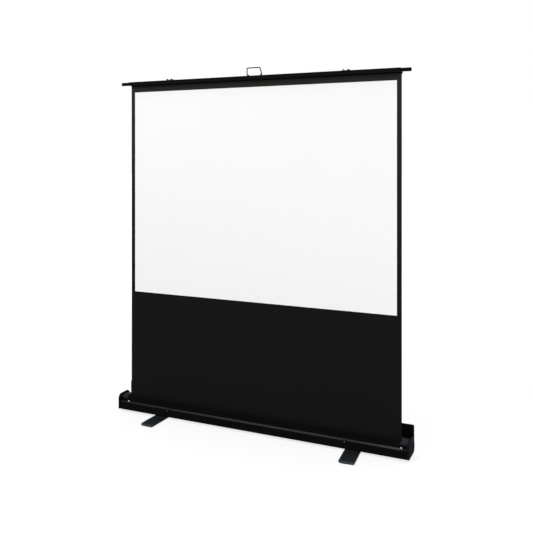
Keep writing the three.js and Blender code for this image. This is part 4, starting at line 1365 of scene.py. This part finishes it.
# %% Lift arms
ARM_ANGLE = math.radians(60)
ARM_HALF, PIN_HEAD, WHEEL_RADIUS = 10, 6, 9
WASHER_HOLE, WASHER_EDGE, WASHER_METAL = 4.3, 8.5, 0.5
first_x = low("base_pivot_pin").x / MM + PIN_HEAD
far_x = low("wheel_lower").x / MM + WHEEL_RADIUS
reach = (far_x - first_x) / math.cos(ARM_ANGLE)
base_z = low("base_pivot_pin").z / MM + PIN_HEAD
rise = reach * math.sin(ARM_ANGLE)


def lift_arm(front_y, back_y):
    """A flat bar with round ends, and a washer on both sides at each of its three pins."""
    # A hair less than half the width, so that the two rounds of an end don't share a point.
    end_radius = ARM_HALF - 0.01
    bar = extruded(rounded([
        (-ARM_HALF, -ARM_HALF, end_radius),
        (reach + ARM_HALF, -ARM_HALF, end_radius),
        (reach + ARM_HALF, ARM_HALF, end_radius),
        (-ARM_HALF, ARM_HALF, end_radius),
    ], steps=14), front_y, back_y, "y")
    washers = []
    for share in (0, 0.5, 1):
        for y, outer_y in ((front_y, front_y - WASHER_METAL), (back_y, back_y + WASHER_METAL)):
            ring = [(WASHER_HOLE, y), (WASHER_EDGE, y), (WASHER_EDGE, outer_y), (WASHER_HOLE, outer_y),
                    (WASHER_HOLE, y)]
            washers.append(turned(ring, "y", (share * reach, 0, 0), sides=32))
    return together(bar, *washers)


arms = {
    "lower_front": (first_x, base_z, ARM_ANGLE),
    "lower_back": (far_x, base_z, math.pi - ARM_ANGLE),
    "upper_back": (far_x, base_z + rise, math.pi - ARM_ANGLE),
    "upper_front": (first_x, base_z + rise, ARM_ANGLE),
}
lift_coats = [drawn_aluminium, aluminium_edge]
for name, (x, z, angle) in arms.items():
    node_low, node_high = span(f"lift_arm_{name}")
    place = Matrix.Translation((x, 0, z)) @ Matrix.Rotation(-angle, 4, "Y")
    made(f"lift_bar_{name}", moved(lift_arm(node_low.y, node_high.y), place), lift_coats,
         f"arm_{name}", "aluminium", [f"lift_arm_{name}"], edge=0.5, rounds=2)
print("lift bars", round(reach, 1), "mm between end pins")

# %% Pins and wheels
PIN_SHANK, THICK_HEAD, THIN_HEAD = 4, 2.7, 1.2
HUB_GROOVE = 1.2


def headed_pin(start, end, thick):
    """A steel pin along Y with a domed head at each end."""
    dome = domed(PIN_HEAD, 0, thick, steps=5)
    first = [(radius, start + thick - along) for radius, along in reversed(dome)]
    last = [(radius, end - thick + along) for radius, along in dome]
    shank = [(PIN_SHANK, start + thick), (PIN_SHANK, end - thick)]
    return turned(first + shank + last, "y", (0, 0, 0), sides=28)


pin_bodies = {
    "base_pivot_pin": "case",
    "top_pivot_pin": "top_bar",
    "cross_pin_lower": "arm_lower_front",
    "elbow_pin_right": "arm_lower_front",
    "elbow_pin_left": "arm_lower_back",
    "cross_pin_upper": "arm_upper_back",
    "wheel_axle_lower": "arm_lower_back",
    "wheel_axle_upper": "arm_upper_front",
}
for node, body in pin_bodies.items():
    node_low, node_high = span(node)
    middle = (node_low + node_high) / 2
    thick = THIN_HEAD if "wheel" in node or "pivot" in node else THICK_HEAD
    pin = moved(headed_pin(node_low.y, node_high.y, thick), Matrix.Translation((middle.x, 0, middle.z)))
    made(f"{node}_turned", pin, steel_coats, body, "steel", [node], edge=0)

for level in ("lower", "upper"):
    node_low, node_high = span(f"wheel_{level}")
    middle = (node_low + node_high) / 2
    front_y, back_y = node_low.y, node_high.y
    groove_y, far_groove_y = front_y + HUB_GROOVE, back_y - HUB_GROOVE
    tread = turned([
        (WASHER_HOLE, front_y), (6, front_y), (6.4, groove_y), (7.6, groove_y), (8, front_y),
        (8.6, front_y), (WHEEL_RADIUS, front_y + 1), (WHEEL_RADIUS, back_y - 1), (8.6, back_y),
        (8, back_y), (7.6, far_groove_y), (6.4, far_groove_y), (6, back_y), (WASHER_HOLE, back_y),
        (WASHER_HOLE, front_y),
    ], "y", (middle.x, 0, middle.z), sides=40)
    made(f"rail_wheel_{level}", tread, wheel_nylon, f"{level}_wheel", "nylon", [f"wheel_{level}"], edge=0)
print("pins:", len(pin_bodies), "and two wheels")

# %% Rails and brackets
RAIL_WALL, RAIL_LIP, BRACKET_METAL = 1.5, 5.5, 3


def rail(level, body):
    """A channel open towards the arms, with lips that keep the wheel in."""
    rail_low, rail_high = span(f"{level}_rail")
    lip_low, lip_high = [(rail_low.z + rail_high.z) / 2 + way * RAIL_LIP for way in (-1, 1)]
    inner_y, back_y = rail_low.y + RAIL_WALL, rail_high.y - RAIL_WALL
    outline = rounded([
        (rail_high.y, rail_low.z, 1),
        (rail_high.y, rail_high.z, 1),
        (rail_low.y, rail_high.z, 0.6),
        (rail_low.y, lip_high, 0.5),
        (inner_y, lip_high, 0.5),
        (inner_y, rail_high.z - RAIL_WALL, 0.4),
        (back_y, rail_high.z - RAIL_WALL, 0.4),
        (back_y, rail_low.z + RAIL_WALL, 0.4),
        (inner_y, rail_low.z + RAIL_WALL, 0.4),
        (inner_y, lip_low, 0.5),
        (rail_low.y, lip_low, 0.5),
        (rail_low.y, rail_low.z, 0.6),
    ], steps=3)
    shape = extruded(outline, rail_low.x, rail_high.x, "x")
    made(f"{level}_rail_channel", shape, lift_coats, body, "aluminium", [f"{level}_rail"],
         edge=0.15, rounds=2)


rail("base", "case")
rail("top", "top_bar")


def bracket(level, body, cheek_y, flange_y, flange_z, cheek_z):
    """An angle bracket: an upright cheek for the pin and a flange with two rivets."""
    bracket_low, bracket_high = span(f"{level}_pivot_bracket")
    way_y = 1 if flange_y > cheek_y else -1
    way_z = 1 if cheek_z > flange_z else -1
    inner_y, inner_z = cheek_y + BRACKET_METAL * way_y, flange_z + BRACKET_METAL * way_z
    outline = rounded([
        (cheek_y, flange_z, 2.5),
        (flange_y, flange_z, 0.6),
        (flange_y, inner_z, 0.6),
        (inner_y, inner_z, 1.5),
        (inner_y, cheek_z, 0.6),
        (cheek_y, cheek_z, 0.6),
    ], steps=5)
    angle = extruded(outline, bracket_low.x, bracket_high.x, "x")
    middle_x = (bracket_low.x + bracket_high.x) / 2
    rivet = [(radius, inner_z + up * way_z) for radius, up in domed(3, 0, 1.4)]
    heads = [turned(rivet, "z", (middle_x + across, (flange_y + inner_y) / 2, 0), sides=20)
             for across in (-12, 12)]
    made(f"{level}_pivot_angle", together(angle, *heads), steel_coats, body, "steel",
         [f"{level}_pivot_bracket"], edge=0.3, rounds=2)


low_corner, high_corner = span("base_pivot_bracket")
bracket("base", "case", high_corner.y, low_corner.y, low_corner.z, high_corner.z)
low_corner, high_corner = span("top_pivot_bracket")
bracket("top", "top_bar", low_corner.y, high_corner.y, high_corner.z, low_corner.z)
print("rails and brackets made")

# %% [markdown]
# ## Inside the roller
# The roller is a thin aluminium tube, closed by a plug at each end. The left plug turns round a
# fixed steel arbor, and a long coil spring between the two pulls the cloth back in. None of it
# shows in the photo, but a part that is taken apart should have a real coil and not a sleeve.

# %% Roller tube and plugs
TUBE_OUTER, TUBE_INNER, TUBE_EDGE = 19, 17.5, 0.4
AXLE, AXLE_EDGE, PLAY, LIP_EDGE = 6, 0.8, 0.3, 0.3
tube_low, tube_high = span("roller_tube")
tube_start, tube_end = tube_low.x, tube_high.x
axis_y, axis_z = (tube_low.y + tube_high.y) / 2, (tube_low.z + tube_high.z) / 2
roller_axis = (0, axis_y, axis_z)
tube = turned([
    (TUBE_INNER + TUBE_EDGE, tube_start),
    (TUBE_OUTER - TUBE_EDGE, tube_start),
    (TUBE_OUTER, tube_start + TUBE_EDGE),
    (TUBE_OUTER, tube_end - TUBE_EDGE),
    (TUBE_OUTER - TUBE_EDGE, tube_end),
    (TUBE_INNER + TUBE_EDGE, tube_end),
    (TUBE_INNER, tube_end - TUBE_EDGE),
    (TUBE_INNER, tube_start + TUBE_EDGE),
    (TUBE_INNER + TUBE_EDGE, tube_start),
], "x", roller_axis, sides=64)
made("winding_tube", tube, tube_aluminium, "roller", "aluminium", ["roller_tube"], edge=0)

plug_low, plug_high = span("roller_plug_right")
plug_in, pin_end = plug_low.x, plug_high.x
lip_in, lip_out = tube_end + PLAY, tube_end + 1.8
plug_radius, bore = TUBE_INNER - PLAY, AXLE + PLAY
right_plug = turned([
    (0, plug_in),
    (plug_radius - 1, plug_in),
    (plug_radius, plug_in + 1),
    (plug_radius, lip_in),
    (TUBE_OUTER - LIP_EDGE, lip_in),
    (TUBE_OUTER, lip_in + LIP_EDGE),
    (TUBE_OUTER, lip_out - LIP_EDGE),
    (TUBE_OUTER - LIP_EDGE, lip_out),
    (AXLE + 3, lip_out),
    (AXLE, lip_out),
    (AXLE, pin_end - AXLE_EDGE),
    (AXLE - AXLE_EDGE, pin_end),
    (0, pin_end),
], "x", roller_axis, sides=48)
made("plug_with_pin", right_plug, cap_plastic, "roller", "black_plastic", ["roller_plug_right"], edge=0)
left_plug = turned([
    (bore, -lip_out),
    (TUBE_OUTER - LIP_EDGE, -lip_out),
    (TUBE_OUTER, LIP_EDGE - lip_out),
    (TUBE_OUTER, -lip_in - LIP_EDGE),
    (TUBE_OUTER - LIP_EDGE, -lip_in),
    (plug_radius, -lip_in),
    (plug_radius, -plug_in - 1),
    (plug_radius - 1, -plug_in),
    (bore, -plug_in),
    (bore, -lip_out),
], "x", roller_axis, sides=48)
made("plug_with_bore", left_plug, cap_plastic, "roller", "black_plastic", ["roller_plug_left"], edge=0)
print("roller tube", round(tube_end - tube_start, 1), "mm long")

# %% Spring and arbor
ARBOR_COLLAR, ARBOR_RADIUS, ARBOR_EDGE = 8, 14, 0.8
COILS, COIL_STEPS, SPRING_WIRE, COIL_RADIUS = 70, 20, 1.7, 11.2
arbor_low, arbor_high = span("spring_arbor")
axle_end, arbor_end = arbor_low.x, arbor_high.x
collar_x = arbor_end - ARBOR_COLLAR
arbor = turned([
    (0, axle_end),
    (AXLE - 1, axle_end),
    (AXLE, axle_end + 1),
    (AXLE, collar_x),
    (ARBOR_RADIUS - ARBOR_EDGE, collar_x),
    (ARBOR_RADIUS, collar_x + ARBOR_EDGE),
    (ARBOR_RADIUS, arbor_end - ARBOR_EDGE),
    (ARBOR_RADIUS - ARBOR_EDGE, arbor_end),
    (0, arbor_end),
], "x", roller_axis, sides=40)
made("steel_arbor", arbor, steel_coats, "case", "steel", ["spring_arbor"], edge=0)

spring_low, spring_high = span("roller_spring")
all_steps = COILS * COIL_STEPS
coil_length = spring_high.x - spring_low.x - 2 * SPRING_WIRE
coil_path = []
for step in range(all_steps + 1):
    turn = 2 * math.pi * step / COIL_STEPS
    coil_path.append(Vector((
        spring_low.x + SPRING_WIRE + coil_length * step / all_steps,
        axis_y + COIL_RADIUS * math.cos(turn),
        axis_z + COIL_RADIUS * math.sin(turn),
    )))
spring = wire(coil_path, SPRING_WIRE, sides=8)
made("torsion_spring", spring, zinc_steel, "roller", "steel", ["roller_spring"], edge=0)
print("spring of", COILS, "coils")

# %% [markdown]
# ## Floor, background and light
# The photo is a catalogue picture on plain white. The floor and the world are white to the
# camera and to reflections, but light the object only as a soft grey room would, so the blacks
# stay black. The floor adds its own shaded surface to that white, which keeps the shadow.

# %% Floor
FLOOR_REACH = 60
FLOOR_GLOW, FADE_START, FADE_LENGTH = 0.73, 2.2, 3.5


def seen_directly(tree):
    """1 for a ray that shows the surface to the camera, also in a mirror, and 0 for its light."""
    path = add_node(tree, "LightPath").socket.node
    rays = [Signal(tree, path.outputs[f"Is {kind} Ray"]) for kind in ("Camera", "Glossy", "Transmission")]
    return sum(rays[1:], rays[0])


floor_finish = Finish("pale_floor", Roughness=0.9, Specular_IOR_Level=0.0, Base_Color=(0.3, 0.3, 0.3, 1))
seen = seen_directly(floor_finish.tree)
sockets = {0: floor_finish.place()}
from_middle = floor_finish.node("VectorMath", {"operation": "LENGTH"}, sockets, output="Value")
faraway = ((from_middle - FADE_START) / FADE_LENGTH).clamped()
glow = seen.at_most(1) * (FLOOR_GLOW + faraway * (1 - FLOOR_GLOW))
floor_finish.set(Emission_Color=(1, 1, 1, 1), Emission_Strength=glow)
corners = [(FLOOR_REACH * x, FLOOR_REACH * y, 0) for x, y in ((-1, -1), (1, -1), (1, 1), (-1, 1))]
floor_mesh = bpy.data.meshes.new("floor")
floor_mesh.from_pydata(corners, [], [(0, 1, 2, 3)])
floor_mesh.materials.append(floor_finish.material)
floor = bpy.data.objects.new("floor", floor_mesh)
bpy.context.scene.collection.objects.link(floor)
print("floor", 2 * FLOOR_REACH, "m across")

# %% World
ROOM_LIGHT = 0.72
world = bpy.data.worlds.new("white_room")
world.use_nodes = True
bpy.context.scene.world = world
room = world.node_tree
background = room.nodes["Background"]
background.inputs["Color"].default_value = (1, 1, 1, 1)
strength = seen_directly(room).at_most(1) * (1 - ROOM_LIGHT) + ROOM_LIGHT
feed(room, background.inputs["Strength"], strength)
print("room light", ROOM_LIGHT)

# %% [markdown]
# ## Lamps
# Four wide round lamps stand around the object. The strongest is high at the front left, and
# two weaker ones at the right keep the right ends from going dark. The widest stands behind,
# so that views of the back are lit as well.


# %% Lamps
def soft_lamp(name, place, towards, size, power):
    """A round lamp, so many metres across, that faces a point."""
    light = bpy.data.lights.new(name, "AREA")
    light.shape = "DISK"
    light.size = size
    light.energy = power
    lamp = bpy.data.objects.new(name, light)
    lamp.location = place
    lamp.rotation_euler = (Vector(towards) - Vector(place)).to_track_quat("-Z", "Y").to_euler()
    bpy.context.scene.collection.objects.link(lamp)


soft_lamp("front_lamp", (-2.4, -4.6, 4.2), (0, 0, 1.1), 3.0, 145)
soft_lamp("fill_lamp", (3.0, -4.6, 1.5), (0.3, 0, 0.9), 2.4, 60)
soft_lamp("side_lamp", (4.2, -1.2, 3.4), (0, 0, 0.9), 2.4, 30)
soft_lamp("rear_lamp", (0.5, 4.5, 4.0), (0, 0, 1.0), 5.2, 95)
print("four soft lamps")
